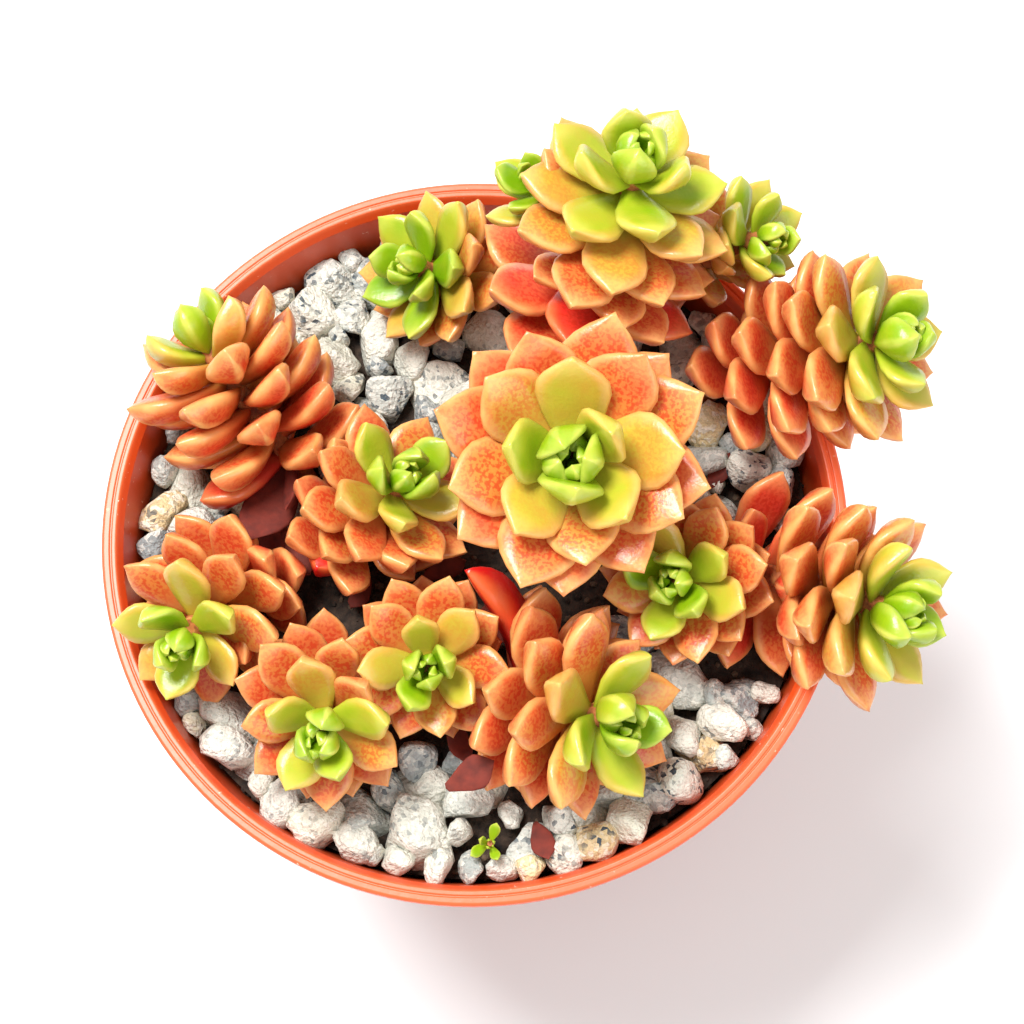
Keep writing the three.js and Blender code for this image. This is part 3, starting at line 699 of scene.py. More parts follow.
def unit_leaf():
    points, unders, acrosses = [(-0.03, 0, 0)], [0.5], [0.0]
    for share in leaf_rings:
        wide, fat = float(outline(share)), float(thickness(share))
        for across, height in upper_side:
            points.append((share, across * wide, ABOVE * fat * height))
            unders.append(0.0)
            acrosses.append(abs(across))
        for across, height in under_side:
            points.append((share, across * wide, -KEEL * fat * height))
            unders.append(0.4 + 0.6 * height)
            acrosses.append(abs(across))
    points.append((1.0, 0, 0.02))
    unders.append(0.5)
    acrosses.append(0.0)
    faces = tube_faces(len(leaf_rings), len(upper_side) + len(under_side))
    faces = [face[:1] + face[:0:-1] for face in faces]
    shares = {"unit": points, "under": unders, "across": acrosses}
    return bpy.data.objects.new("unit_leaf", mesh_of_points("unit_leaf", points, (), faces, **shares))


leaf_pattern = unit_leaf()
print("faces in the unit leaf:", len(leaf_pattern.data.polygons))

# %% [markdown]
# ## A leafy shoot
# The stem is a path and the leaves repeat along it, which is what Geometry Nodes are for. The tree
# gets one point for each leaf. It puts a unit leaf on every point, then moves each of its points to
# its place on the bent leaf. The stem is a round profile swept along its line, knobbly with the
# scars of shed leaves. Withered leaves get wrinkles from the same tree.

# %% The tree for a shoot
def shoot_tree():
    sockets = [
        ("Leaf", "Object", None),
        ("Stem", "Object", None),
        ("Leaf Skin", "Material", None),
        ("Stem Skin", "Material", None),
        ("Stem Sides", "Int", 12),
        ("Scar Depth", "Float", 0.00018),
        ("Wrinkle Depth", "Float", 0.0009),
    ]
    tree, inputs = new_tree("leafy_shoot", sockets)
    pattern = wire(tree, "GeometryNodeObjectInfo", [inputs["Leaf"]]).outputs["Geometry"]
    placed = {0: inputs["Geometry"], "Instance": pattern}
    placed = wire(tree, "GeometryNodeInstanceOnPoints", placed).outputs[0]
    real = wire(tree, "GeometryNodeRealizeInstances", [placed]).outputs[0]
    unit = wire(tree, "ShaderNodeSeparateXYZ", [named(tree, "unit", "FLOAT_VECTOR")]).outputs
    bend = named(tree, "bend")
    radius = sums(tree, "DIVIDE", named(tree, "length"), bend)
    angle = times(tree, unit[0], bend)
    inner = less(tree, radius, times(tree, unit[2], named(tree, "flesh")))
    ahead = times(tree, inner, sums(tree, "SINE", angle))
    up = less(tree, radius, times(tree, inner, sums(tree, "COSINE", angle)))
    slant = times(tree, times(tree, unit[0], unit[0]), named(tree, "slant"))
    aside = times(tree, sums(tree, "ADD", unit[1], slant), named(tree, "half"))
    place = scaled(tree, named(tree, "forward", "FLOAT_VECTOR"), ahead)
    place = vectors(tree, "ADD", place, scaled(tree, named(tree, "upward", "FLOAT_VECTOR"), up))
    place = vectors(tree, "ADD", place, scaled(tree, named(tree, "sideways", "FLOAT_VECTOR"), aside))
    place = vectors(tree, "ADD", place, named(tree, "base", "FLOAT_VECTOR"))
    bent = wire(tree, "GeometryNodeSetPosition", {0: real, "Position": place}).outputs[0]
    wrinkles = unevenness(tree, 420, 3, inputs["Wrinkle Depth"], 0.55)
    wrinkles = times(tree, wrinkles, named(tree, "dry"))
    leaves = coated(tree, pushed_out(tree, bent, wrinkles), inputs["Leaf Skin"])

    line = wire(tree, "GeometryNodeObjectInfo", [inputs["Stem"]]).outputs["Geometry"]
    line = wire(tree, "GeometryNodeMeshToCurve", [line]).outputs[0]
    profile = {"Resolution": inputs["Stem Sides"], "Radius": 1.0}
    profile = wire(tree, "GeometryNodeCurvePrimitiveCircle", profile)
    swept = {0: line, 1: profile.outputs[0], "Scale": named(tree, "girth"), "Fill Caps": True}
    stem = wire(tree, "GeometryNodeCurveToMesh", swept).outputs[0]
    scars = unevenness(tree, 900, 2, inputs["Scar Depth"])
    stem = coated(tree, pushed_out(tree, stem, scars), inputs["Stem Skin"])
    finish_tree(tree, joined(tree, leaves, stem))
    return tree


leafy_shoot = shoot_tree()

# %% [markdown]
# ## The leaf's skin
# The colour runs from fresh green at the heart through yellow green to orange and red outside. The
# margins and the tip are a paler cream, where the flesh is thin. The pale line along the keel below is
# partly that cream and partly a painted highlight. Fine red speckles lie over the orange leaves. Each
# leaf carries its own tone as an attribute, so one material serves them all, and the tissue under the
# skin scatters a little light.

# %% Leaf skin
def make_leaf_skin():
    material, tree, shader, where = new_material("leaf_skin", 0.34)
    unit = wire(tree, "ShaderNodeAttribute", attribute_name="unit").outputs["Vector"]
    along = wire(tree, "ShaderNodeSeparateXYZ", [unit]).outputs[0]
    under, across, tone = reading(tree, "under"), reading(tree, "across"), reading(tree, "tone")
    clouds = less(tree, noise(tree, 260, 2, where), 0.5)
    shade = sums(tree, "MULTIPLY_ADD", clouds, 0.34, tone)
    shade = sums(tree, "MULTIPLY_ADD", less(tree, under, 0.4), 0.08, shade)
    ripe = between(tree, tone, 0.3, 0.6)
    outward = times(tree, less(tree, along, 0.55), 0.16)
    shade = sums(tree, "MULTIPLY_ADD", outward, ripe, shade)
    stops = [
        (0.0, paint(118, 160, 10)),
        (0.08, paint(140, 172, 18)),
        (0.18, paint(172, 180, 44)),
        (0.28, paint(190, 172, 56)),
        (0.38, paint(198, 152, 58)),
        (0.5, paint(206, 132, 58)),
        (0.6, paint(212, 114, 58)),
        (0.7, paint(216, 94, 54)),
        (0.8, paint(220, 68, 50)),
        (0.9, paint(220, 40, 36)),
        (1.0, paint(194, 20, 20)),
    ]
    scale = sums(tree, "DIVIDE", shade, 1.3)
    colour = colour_ramp(tree, scale, stops)
    middle = times(tree, between(tree, across, 1.0, 0.8), between(tree, along, 0.25, 0.6))
    dots = between(tree, noise(tree, 2300, 1, where), 0.42, 0.6)
    dots = times(tree, dots, times(tree, middle, between(tree, tone, 0.35, 0.7)))
    colour = mixed(tree, times(tree, dots, 0.72), colour, paint(200, 40, 24))
    edge = times(tree, between(tree, across, 0.4, 1.0), between(tree, along, 0.3, 0.8))
    flush = times(tree, times(tree, edge, 0.55), between(tree, tone, 0.1, 0.3))
    colour = mixed(tree, flush, colour, paint(226, 124, 60))
    cream = mixed(tree, between(tree, tone, 0.1, 0.5), paint(210, 212, 96), paint(244, 194, 118))
    rim = times(tree, between(tree, across, 0.6, 1.0), between(tree, along, 0.2, 0.7))
    # The pale line along the keel is partly the leaf's own cream and partly a painted highlight.
    keel_cream_and_highlight = times(tree, between(tree, under, 0.86, 0.98), between(tree, along, 0.2, 0.8))
    tip = between(tree, along, 0.72, 1.02)
    patch = between(tree, noise(tree, 420, 1, where), 0.3, 0.7)
    pale = sums(tree, "MAXIMUM", times(tree, rim, 0.6), times(tree, keel_cream_and_highlight, 0.8))
    pale = sums(tree, "MAXIMUM", pale, times(tree, tip, 0.7))
    pale = times(tree, pale, sums(tree, "MULTIPLY_ADD", patch, 0.5, 0.5))
    fresh = less(tree, 1.0, between(tree, tone, 1.02, 1.2))
    # The margins and the tip take the leaf's cream. Along the keel this mix is partly a painted
    # highlight.
    colour = mixed(tree, times(tree, pale, fresh), colour, cream)
    withered = mixed(tree, noise(tree, 700, 2, where), paint(64, 16, 10), paint(140, 50, 32))
    colour = mixed(tree, reading(tree, "dry"), colour, withered)
    tree.links.new(colour, shader.inputs["Base Color"])
    rough = sums(tree, "MULTIPLY_ADD", reading(tree, "dry"), 0.5, 0.3)
    tree.links.new(rough, shader.inputs["Roughness"])
    shader.inputs["Subsurface Weight"].default_value = 0.1
    shader.inputs["Subsurface Radius"].default_value = (1.0, 0.45, 0.15)
    shader.inputs["Subsurface Scale"].default_value = 0.0012
    roughen(tree, shader, noise(tree, 2600, 1, where), 0.00006, 0.5)
    return material

# %% [markdown]
# The stem is woody and dull, from brown to a pale tan, and slightly rough.

# %% Stem skin
def make_stem_skin():
    material, tree, shader, where = new_material("stem_skin", 0.6)
    bark = noise(tree, 800, 4, where)
    stops = [(0.3, paint(120, 62, 36)), (0.55, paint(186, 108, 60)), (0.8, paint(206, 150, 84))]
    tree.links.new(colour_ramp(tree, bark, stops), shader.inputs["Base Color"])
    roughen(tree, shader, bark, 0.0003)
    return material


skins = {"leaf_skin": make_leaf_skin(), "stem_skin": make_stem_skin()}
print("materials of a shoot:", [skin.name for skin in skins.values()])

# %% [markdown]
# The tone of a leaf follows its count from the heart: green, then yellow green, then orange, and the
# oldest are the reddest. A few old leaves are about to be shed and have turned a clear red.

# %% Tone of each leaf
BUD_TONE = 0.05
RED_TONE = 1.12
OLD_TONE = 1.2


def tone_of(shoot, number, leaf):
    count = leaf["count"]
    if count >= OLD_COUNT:
        return OLD_TONE
    fresh, yellow, orange = shoot["tones"]
    tone = np.interp(count, [0, fresh, yellow, orange, 45], [0.02, 0.14, 0.42, 0.72, 1.0])
    if count in shoot.get("reds", ()):
        tone = RED_TONE
    return tone + 0.09 * min(1, count / 6) * draw(number, count + 300)

# %% [markdown]
# At the heart of each rosette the smallest leaves close over the growing tip. The solid model leaves
# them out, so three more follow the same spiral inwards here, each a little smaller and higher.

# %% The bud
BUD_TRIMS = (1.0, 0.82, 0.64)


def bud_leaves(shoot, line, number):
    buds = []
    for inner, trim in enumerate(BUD_TRIMS, 1):
        start = shoot["start"] - inner * shoot["turn"] * GOLDEN_ANGLE
        bud = spiral_leaf({**shoot, "start": start}, line, number, 0, 0, trim)
        rise = shoot["length"] * (0.08 + 0.04 * inner)
        bud["base"] = bud["base"] + line["along"][-1] * rise
        buds.append(bud)
    return buds

# %% [markdown]
# Each shoot is one piece, stem and leaves together, as its solid is. A side shoot goes with the shoot
# that it grows from.

# %% Make the shoots
def build_leaves(name, columns, line):
    stem = bpy.data.objects.new(line.name, line)
    points = mesh_of_points("points_of_" + name, columns["base"], **columns)
    piece = build(name, points, leafy_shoot, leaf=leaf_pattern, stem=stem, **skins)
    bpy.data.objects.remove(stem)
    return piece


def make_shoot(name):
    rows, points, edges, girths = [], [], [], []
    for number, shoot in enumerate(SHOOTS):
        if name not in (shoot["name"], shoot.get("joins")):
            continue
        rows += [(leaf, tone_of(shoot, number, leaf)) for leaf in grown_leaves[number]]
        line = stem_lines[number]
        rows += [(leaf, BUD_TONE) for leaf in bud_leaves(shoot, line, number)]
        start = len(points)
        points += [at * MM for at in line["at"]]
        edges += [(start + i, start + i + 1) for i in range(STEM_STEPS)]
        share = np.linspace(0, 1, STEM_STEPS + 1)
        girths += list(line["radius"] * MM * np.where(share < 0.96, 1, 0.7))
    leaves = [leaf for leaf, _ in rows]
    columns = {key: [leaf[key] * MM for leaf in leaves] for key in ("base", "length", "half", "flesh")}
    for key in ("forward", "upward", "sideways", "bend", "dry"):
        columns[key] = [leaf[key] for leaf in leaves]
    columns["slant"] = [0.3 * draw(leaf["count"], 400 + i) for i, leaf in enumerate(leaves)]
    columns["tone"] = [tone for _, tone in rows]
    line = mesh_of_points(name + "_stem", points, edges, girth=girths)
    piece = build_leaves(name + "_leaves", columns, line)
    hand_over(piece, "young_leaf" if name == "seedling" else "leaf", name)


for shoot in SHOOTS:
    if "joins" not in shoot:
        make_shoot(shoot["name"])

# %% [markdown]
# ## The pot
# The pot is moulded in one piece, and its form is one outline turned round the upright axis. The rim
# has two light rings with a fine groove between them, then slopes in to the wall. The outline runs
# from the middle of the underside out, up and back in to the middle of the floor.

# %% The pot's outline
pot_outline = [
    (0, 0),
    (14, 0),
    (15, BASE_LIFT),
    (27.6, BASE_LIFT),
    (28.4, 0),
    (BASE_RADIUS, 0),
    (LEDGE_RADIUS + WALL, LEDGE - 1.5),
    (LEDGE_RADIUS + COLLAR_STEP + WALL, LEDGE),
    (RIM_RADIUS - 0.9, POT_HEIGHT - LIP_DROP),
    (RIM_RADIUS, POT_HEIGHT - LIP_DROP + 0.3),
    (RIM_RADIUS, POT_HEIGHT - 0.3),
    (RIM_RADIUS - 0.3, POT_HEIGHT),
    (RIM_RADIUS - 0.95, POT_HEIGHT),
    (RIM_RADIUS - 1.1, POT_HEIGHT - 0.4),
    (RIM_RADIUS - 1.25, POT_HEIGHT),
    (RIM_RADIUS - 1.75, POT_HEIGHT),
    (RIM_RADIUS - RIM_WIDTH, POT_HEIGHT - 1.2),
    (LEDGE_RADIUS + COLLAR_STEP, LEDGE + 1),
    (LEDGE_RADIUS, LEDGE - 0.5),
    (float(inner_radius(BASE_LIFT + FLOOR_THICKNESS)), BASE_LIFT + FLOOR_THICKNESS),
    (0, BASE_LIFT + FLOOR_THICKNESS),
]
print("points in the outline:", len(pot_outline))

# %% [markdown]
# A lathe would turn the outline about its axis. Here the tree rounds its corners, sweeps it round a
# hoop of any radius, which is taken off the outline first, and drills the drain holes.

# %% The tree that turns the pot
HOOP = 20


def pot_tree():
    sockets = [
        ("Sides", "Int", 144),
        ("Corner Radius", "Float", 0.00025),
        ("Drain Holes", "Int", 8),
        ("Drain Radius", "Float", 0.0026),
        ("Drain Ring", "Float", 0.0225),
        ("Plastic", "Material", None),
    ]
    tree, inputs = new_tree("turned_pot", sockets)
    line = wire(tree, "GeometryNodeMeshToCurve", [inputs["Geometry"]]).outputs[0]
    soft = {0: line, "Count": 3, "Radius": inputs["Corner Radius"], "Limit Radius": True}
    line = wire(tree, "GeometryNodeFilletCurve", soft, mode="POLY").outputs[0]
    hoop = {"Resolution": inputs["Sides"], "Radius": HOOP * MM}
    hoop = wire(tree, "GeometryNodeCurvePrimitiveCircle", hoop)
    turned = wire(tree, "GeometryNodeCurveToMesh", {0: hoop.outputs[0], 1: line}).outputs[0]
    whole = wire(tree, "GeometryNodeMergeByDistance", {0: turned, "Distance": 0.00001}).outputs[0]
    ring = {"Vertices": inputs["Drain Holes"], "Radius": inputs["Drain Ring"]}
    ring = wire(tree, "GeometryNodeMeshCircle", ring).outputs[0]
    drill = {"Vertices": 40, "Radius": inputs["Drain Radius"], "Depth": 0.02}
    drill = wire(tree, "GeometryNodeMeshCylinder", drill).outputs[0]
    drills = wire(tree, "GeometryNodeInstanceOnPoints", {0: ring, "Instance": drill}).outputs[0]
    eighth = wire(tree, "GeometryNodeTransform", {0: drills, "Rotation": (0, 0, math.pi / 8)}).outputs[0]
    drills = wire(tree, "GeometryNodeRealizeInstances", [eighth]).outputs[0]
    cut = wire(tree, "GeometryNodeMeshBoolean", [whole, drills], operation="DIFFERENCE", solver="EXACT")
    finish_tree(tree, coated(tree, cut.outputs[0], inputs["Plastic"]), False)
    return tree

# %% [markdown]
# ## The pot's plastic
# It is a thin, bright terracotta orange plastic with a soft sheen. Real pots are never clean: the rim
# carries pale specks of lime and dust. The wall inside is painted darker, a painted shade, and the
# top of the rim's light rings is painted a little paler, a painted highlight.

# %% Plastic
def make_plastic():
    material, tree, shader, where = new_material("pot_plastic", 0.38)
    split = wire(tree, "ShaderNodeSeparateXYZ", [where]).outputs
    squared = times(tree, split[0], split[0])
    out = sums(tree, "SQRT", sums(tree, "MULTIPLY_ADD", split[1], split[1], squared))
    base = mixed(tree, noise(tree, 60, 3, where), paint(212, 70, 24), paint(224, 84, 32))
    rim_foot = (POT_HEIGHT - 0.6) * MM
    # Painted highlight: the top of the rim, where the light falls, is painted paler.
    stone_wear_and_rim_highlight = between(tree, split[2], rim_foot, rim_foot + 0.5 * MM)
    base = mixed(tree, times(tree, stone_wear_and_rim_highlight, 0.3), base, paint(252, 136, 86))
    # Painted shade: the inner wall between the rim and the bed is painted darker, more so lower down.
    inside = between(tree, out, (RIM_RADIUS - 1.8) * MM, (RIM_RADIUS - 3) * MM)
    inside = times(tree, inside, between(tree, split[2], rim_foot, BED_TOP * MM))
    base = mixed(tree, times(tree, inside, 0.65), base, paint(140, 58, 26))
    specks = between(tree, noise(tree, 1500, 2, where), 0.68, 0.74)
    specks = times(tree, specks, between(tree, noise(tree, 90, 2, where), 0.45, 0.7))
    base = mixed(tree, specks, base, paint(250, 216, 190))
    tree.links.new(base, shader.inputs["Base Color"])
    rough = sums(tree, "MULTIPLY_ADD", specks, 0.4, 0.36)
    tree.links.new(rough, shader.inputs["Roughness"])
    roughen(tree, shader, noise(tree, 500, 4, where), 0.00008, 0.4)
    return material


pot_points = [((r - HOOP) * MM, -z * MM, 0) for r, z in pot_outline]
pot_edges = [(i, i + 1) for i in range(len(pot_outline) - 1)]
pot_line = mesh_of_points("pot_outline", pot_points, pot_edges)
pot = build("moulded_pot", pot_line, pot_tree(), plastic=make_plastic())
# The sweep may leave faces pointing inwards, so all are turned outwards.
turned_out = bmesh.new()
turned_out.from_mesh(pot.data)
bmesh.ops.recalc_face_normals(turned_out, faces=turned_out.faces)
turned_out.to_mesh(pot.data)
turned_out.free()
print("pot box, mm:", [round(c / MM, 1) for c in (*pot.bound_box[0], *pot.bound_box[6])])
hand_over(pot, "pot", "pot")

# %% [markdown]
# ## Gravel
# The grit is crushed pale stone: blunt lumps with flat broken faces, three to eight millimetres
# across. A ball that is cut by about a dozen planes gives such a lump. Six shapes are enough, since
# each stone is turned, stretched and worn differently. They lie where the solid model's stones lie,
# and others fill the bed between them.

# %% Unit stones
SHAPES = 6
CUTS = 13
CUT_SHARPNESS = 60
UNCUT_RADIUS = 1.4


def unit_stone(seed, detail):
    lump = bmesh.new()
    bmesh.ops.create_icosphere(lump, subdivisions=detail, radius=1)
    cuts = []
    for cut in range(CUTS):
        lean, turn = math.acos(draw(seed, cut)), math.pi * draw(seed, cut + 40)
        away = Vector((math.sin(lean) * math.cos(turn), math.sin(lean) * math.sin(turn), math.cos(lean)))
        cuts.append((away, 0.92 + 0.13 * draw(seed, cut + 80)))
    for point in lump.verts:
        towards = point.co.normalized()
        holds = [max(0, towards.dot(away)) * UNCUT_RADIUS / depth for away, depth in cuts]
        hold = 1 + sum(hold**CUT_SHARPNESS for hold in holds)
        point.co = towards * UNCUT_RADIUS * hold ** (-1 / CUT_SHARPNESS)
    mesh = bpy.data.meshes.new(f"stone_{seed}")
    lump.to_mesh(mesh)
    lump.free()
    return bpy.data.objects.new(mesh.name, mesh)


def stone_heap(name, detail):
    heap = bpy.data.collections.new(name)
    for seed in range(SHAPES):
        heap.objects.link(unit_stone(seed + 700, detail))
    return heap

# %% [markdown]
# One tree lays all the stones. It puts a shape on each point, then chips and roughens its faces, so
# no two stones look the same.

# %% The tree that lays the stones
def stones_tree():
    sockets = [
        ("Stones", "Collection", None),
        ("Chips", "Float", 0.0009),
        ("Grain", "Float", 0.00012),
        ("Rock", "Material", None),
    ]
    tree, inputs = new_tree("laid_stones", sockets)
    heap = wire(tree, "GeometryNodeCollectionInfo", [inputs["Stones"], True, True]).outputs[0]
    turn = wire(tree, "FunctionNodeEulerToRotation", [named(tree, "turn", "FLOAT_VECTOR")]).outputs[0]
    laid = {
        0: inputs["Geometry"],
        "Instance": heap,
        "Pick Instance": True,
        "Instance Index": named(tree, "pick", "INT"),
        "Rotation": turn,
        "Scale": named(tree, "size", "FLOAT_VECTOR"),
    }
    laid = wire(tree, "GeometryNodeInstanceOnPoints", laid).outputs[0]
    real = wire(tree, "GeometryNodeRealizeInstances", [laid]).outputs[0]
    chips = unevenness(tree, 380, 2, inputs["Chips"])
    grain = unevenness(tree, 1600, 3, inputs["Grain"])
    stone_wear_and_rim_highlight = pushed_out(tree, real, sums(tree, "ADD", chips, grain))
    finish_tree(tree, coated(tree, stone_wear_and_rim_highlight, inputs["Rock"]))
    return tree


laid_stones = stones_tree()

# %% [markdown]
# The stones are rough and dry, mostly pale grey and white with dark blue grey flecks in patches. A
# few are cream or tan. Which one a stone is comes from its own attribute.

# %% Rock
def make_rock():
    material, tree, shader, where = new_material("pale_rock", 0.85)
    kind = reading(tree, "kind")
    stops = [
        (0.0, paint(140, 146, 146)),
        (0.12, paint(170, 174, 168)),
        (0.3, paint(210, 208, 194)),
        (0.55, paint(226, 223, 208)),
        (0.7, paint(190, 192, 184)),
        (0.86, paint(216, 211, 190)),
        (0.92, paint(232, 216, 166)),
        (1.0, paint(206, 178, 132)),
    ]
    base = colour_ramp(tree, kind, stops)
    cells = wire(tree, "ShaderNodeTexVoronoi", {"Vector": where, "Scale": 1700.0})
    crystal = wire(tree, "ShaderNodeSeparateColor", [cells.outputs["Color"]]).outputs[0]
    clouds = noise(tree, 380, 3, where)
    chalk = times(tree, between(tree, crystal, 0.45, 0.75), between(tree, clouds, 0.3, 0.6))
    base = mixed(tree, times(tree, chalk, 0.7), base, paint(234, 231, 218))
    dark = times(tree, between(tree, crystal, 0.3, 0.1), between(tree, clouds, 0.62, 0.4))
    base = mixed(tree, times(tree, dark, reading(tree, "flecked")), base, paint(72, 84, 92))
    dust = between(tree, noise(tree, 2600, 2, where), 0.6, 0.7)
    base = mixed(tree, times(tree, dust, 0.3), base, paint(132, 128, 118))
    tree.links.new(base, shader.inputs["Base Color"])
    roughen(tree, shader, noise(tree, 1900, 3, where), 0.0006)
    return material


rock = make_rock()

# %% [markdown]
# Placing the stones repeats the rule of the solid model: rings from the wall inwards, and a stone
# that would touch the plant lies deeper and is smaller, or is left out.

# %% Find the stones' places
STONE_SIZE = 6.6
STONE_SPACING = 7.3
STONE_RINGS = 3
SIZE_JITTER = 0.22
PLACE_JITTER = 0.14
YIELD_SHRINK = 0.25
YIELD_DEPTH = 1.6
all_leaves = [leaf for leaves in grown_leaves for leaf in leaves]
feeler = bmesh.new()
bmesh.ops.create_icosphere(feeler, subdivisions=3, radius=1.16)
feeler_points = np.array([tuple(point.co) for point in feeler.verts])
feeler.free()


def stone_hits(at, size):
    room = max(size[0], size[1]) + FIT_GAP
    for line in stem_lines:
        if (np.linalg.norm(line["at"] - at, axis=1) < room + line["radius"]).any():
            return True
    spots = feeler_points * size + at
    for leaf in all_leaves:
        if np.linalg.norm(leaf["middle"] - at) > leaf["reach"] + 1.2 * room + 1:
            continue
        if in_leaf(leaf, spots, 2 * LEAF_CLEARANCE).any():
            return True
    return False


def place_stones():
    stones = []
    for ring in range(STONE_RINGS):
        wall = float(inner_radius(BED_TOP)) - FIT_GAP - ring * STONE_SPACING * 0.92
        places = round(2 * math.pi * (wall - STONE_SIZE / 2) / STONE_SPACING)
        for place in range(places):
            seed = 1000 + ring * 60 + place
            half = STONE_SIZE / 2 * (1 + SIZE_JITTER * draw(seed, 3))
            out = wall - 1.22 * half - 0.5 * ring * (1 + draw(seed, 1))
            shaken = place + 0.5 * (ring % 2) + PLACE_JITTER * draw(seed, 2)
            angle = shaken * 2 * math.pi / places
            for yielded in (0, 0.25, 0.5, 0.75, 1):
                wide, high = 1 + 0.04 * draw(seed, 4), 0.82 + 0.12 * draw(seed, 5)
                size = half * (1 - YIELD_SHRINK * yielded) * np.array([wide, 1, high])
                at = np.array([out * math.cos(angle), out * math.sin(angle), 0])
                at[2] = BED_TOP - HEAP * at[1] + 0.5 * size[2] + 0.4 * draw(seed, 6)
                at[2] -= YIELD_DEPTH * yielded
                if not stone_hits(at, size):
                    stones.append((at, size, seed))
                    break
    return stones

# %% [markdown]
# Loose grit has no order, so the fillers are tried at random places, the largest ones first. One stays
# where it meets no other stone and nothing of the plant. None lie in the shade in the middle, where
# the bed of the real pot is bare.

# %% Find places for the filler stones
FILLER_HALVES = (3.3, 2.8, 2.2, 1.7)
FILLER_TRIES = 1200
SHADED_RADIUS = 27
SHADED_BACK = 8


def place_fillers(large):
    wall = float(inner_radius(BED_TOP)) - FIT_GAP
    spots = [at for at, _, _ in large]
    spans = [max(size) for _, size, _ in large]
    fillers = []
    for half in FILLER_HALVES:
        for attempt in range(FILLER_TRIES):
            seed = 20000 + round(half * 10) * 1000 + attempt
            span = half * (1 + 0.15 * draw(seed, 3))
            out = min(wall + 0.8 - 0.92 * span, (wall + 2) * math.sqrt(0.5 + 0.5 * draw(seed, 1)))
            angle = math.pi * draw(seed, 2)
            at = np.array([out * math.cos(angle), out * math.sin(angle), 0])
            at[2] = BED_TOP - HEAP * at[1] + 0.5 * span + 1.2 + 0.9 * draw(seed, 4)
            near = np.linalg.norm(np.array(spots) - at, axis=1) < 0.72 * (np.array(spans) + span)
            size = span * np.array([1, 0.9 + 0.1 * draw(seed, 5), 0.8 + 0.1 * draw(seed, 6)])
            shaded = out < SHADED_RADIUS and at[1] < SHADED_BACK
            if shaded or near.any() or stone_hits(at, size):
                continue
            spots.append(at)
            spans.append(span)
            fillers.append((at, size, seed))
    return fillers

# %% [markdown]
# The large stones are seen best, so their shapes are finer than those of the fillers.

# %% Lay the stones
def lay_stones(name, stones, detail):
    seeds = [seed for _, _, seed in stones]
    whole_numbers = [int(abs(draw(seed, 21)) * SHAPES) % SHAPES for seed in seeds]
    points = mesh_of_points(
        name,
        [at * MM for at, _, _ in stones],
        size=[size * MM for _, size, _ in stones],
        turn=[[math.pi * draw(seed, axis) for axis in (22, 23, 24)] for seed in seeds],
        kind=[0.5 + 0.5 * draw(seed, 25) for seed in seeds],
        flecked=[max(0, 0.6 + 0.6 * draw(seed, 26)) for seed in seeds],
    )
    points.attributes.new("pick", "INT", "POINT").data.foreach_set("value", whole_numbers)
    heap = stone_heap(name + "_shapes", detail)
    piece = build(name, points, laid_stones, stones=heap, rock=rock)
    for shape in list(heap.objects):
        bpy.data.objects.remove(shape)
    bpy.data.collections.remove(heap)
    hand_over(piece, "gravel", "gravel")


large_stones = place_stones()
fillers = place_fillers(large_stones)
print("stones:", len(large_stones), "fillers:", len(fillers))
lay_stones("gravel_stones", large_stones, 4)
lay_stones("gravel_fillers", fillers, 3)

# %% [markdown]
# ## The bed under the stones
# Dark crumbs of potting mix show between the stones. The bed is a plug that fills the upper part of
# the pot. Its rings and faces are listed here, as the top needs to be fine and the rest does not.

# %% The bed's plug
BED_SIDES = 96
BED_RINGS = 30


def bed_plug():
    rim = float(inner_radius(BED_TOP)) - FIT_GAP
    low = float(inner_radius(LEDGE - 0.6)) - FIT_GAP
    loops = [(low * 0.5, SOIL_TOP, 0), (low, SOIL_TOP, 0), (low, LEDGE - 0.6, 0)]
    loops.append((rim - 0.4, LEDGE + 1.2, 0))
    loops += [(rim * (1 - ring / BED_RINGS), BED_TOP, 1) for ring in range(BED_RINGS)]
    points, tops = [(0, 0, SOIL_TOP * MM)], [0.0]
    for radius, z, top in loops:
        for side in range(BED_SIDES):
            angle = 2 * math.pi * side / BED_SIDES
            x, y = radius * math.cos(angle), radius * math.sin(angle)
            points.append((x * MM, y * MM, (z - top * HEAP * y) * MM))
            tops.append(float(top))
    points.append((0, 0, BED_TOP * MM))
    tops.append(1.0)
    return mesh_of_points("bed_plug", points, (), tube_faces(len(loops), BED_SIDES), top=tops)

# %% [markdown]
# The tree lifts the top into small heaps and strews crumbs over it, each turned and sized by chance.

# %% The tree for the bed
def chance(tree, low, high, seed):
    inputs = {2: low, 3: high, "Seed": seed}
    return wire(tree, "FunctionNodeRandomValue", inputs, data_type="FLOAT").outputs[1]


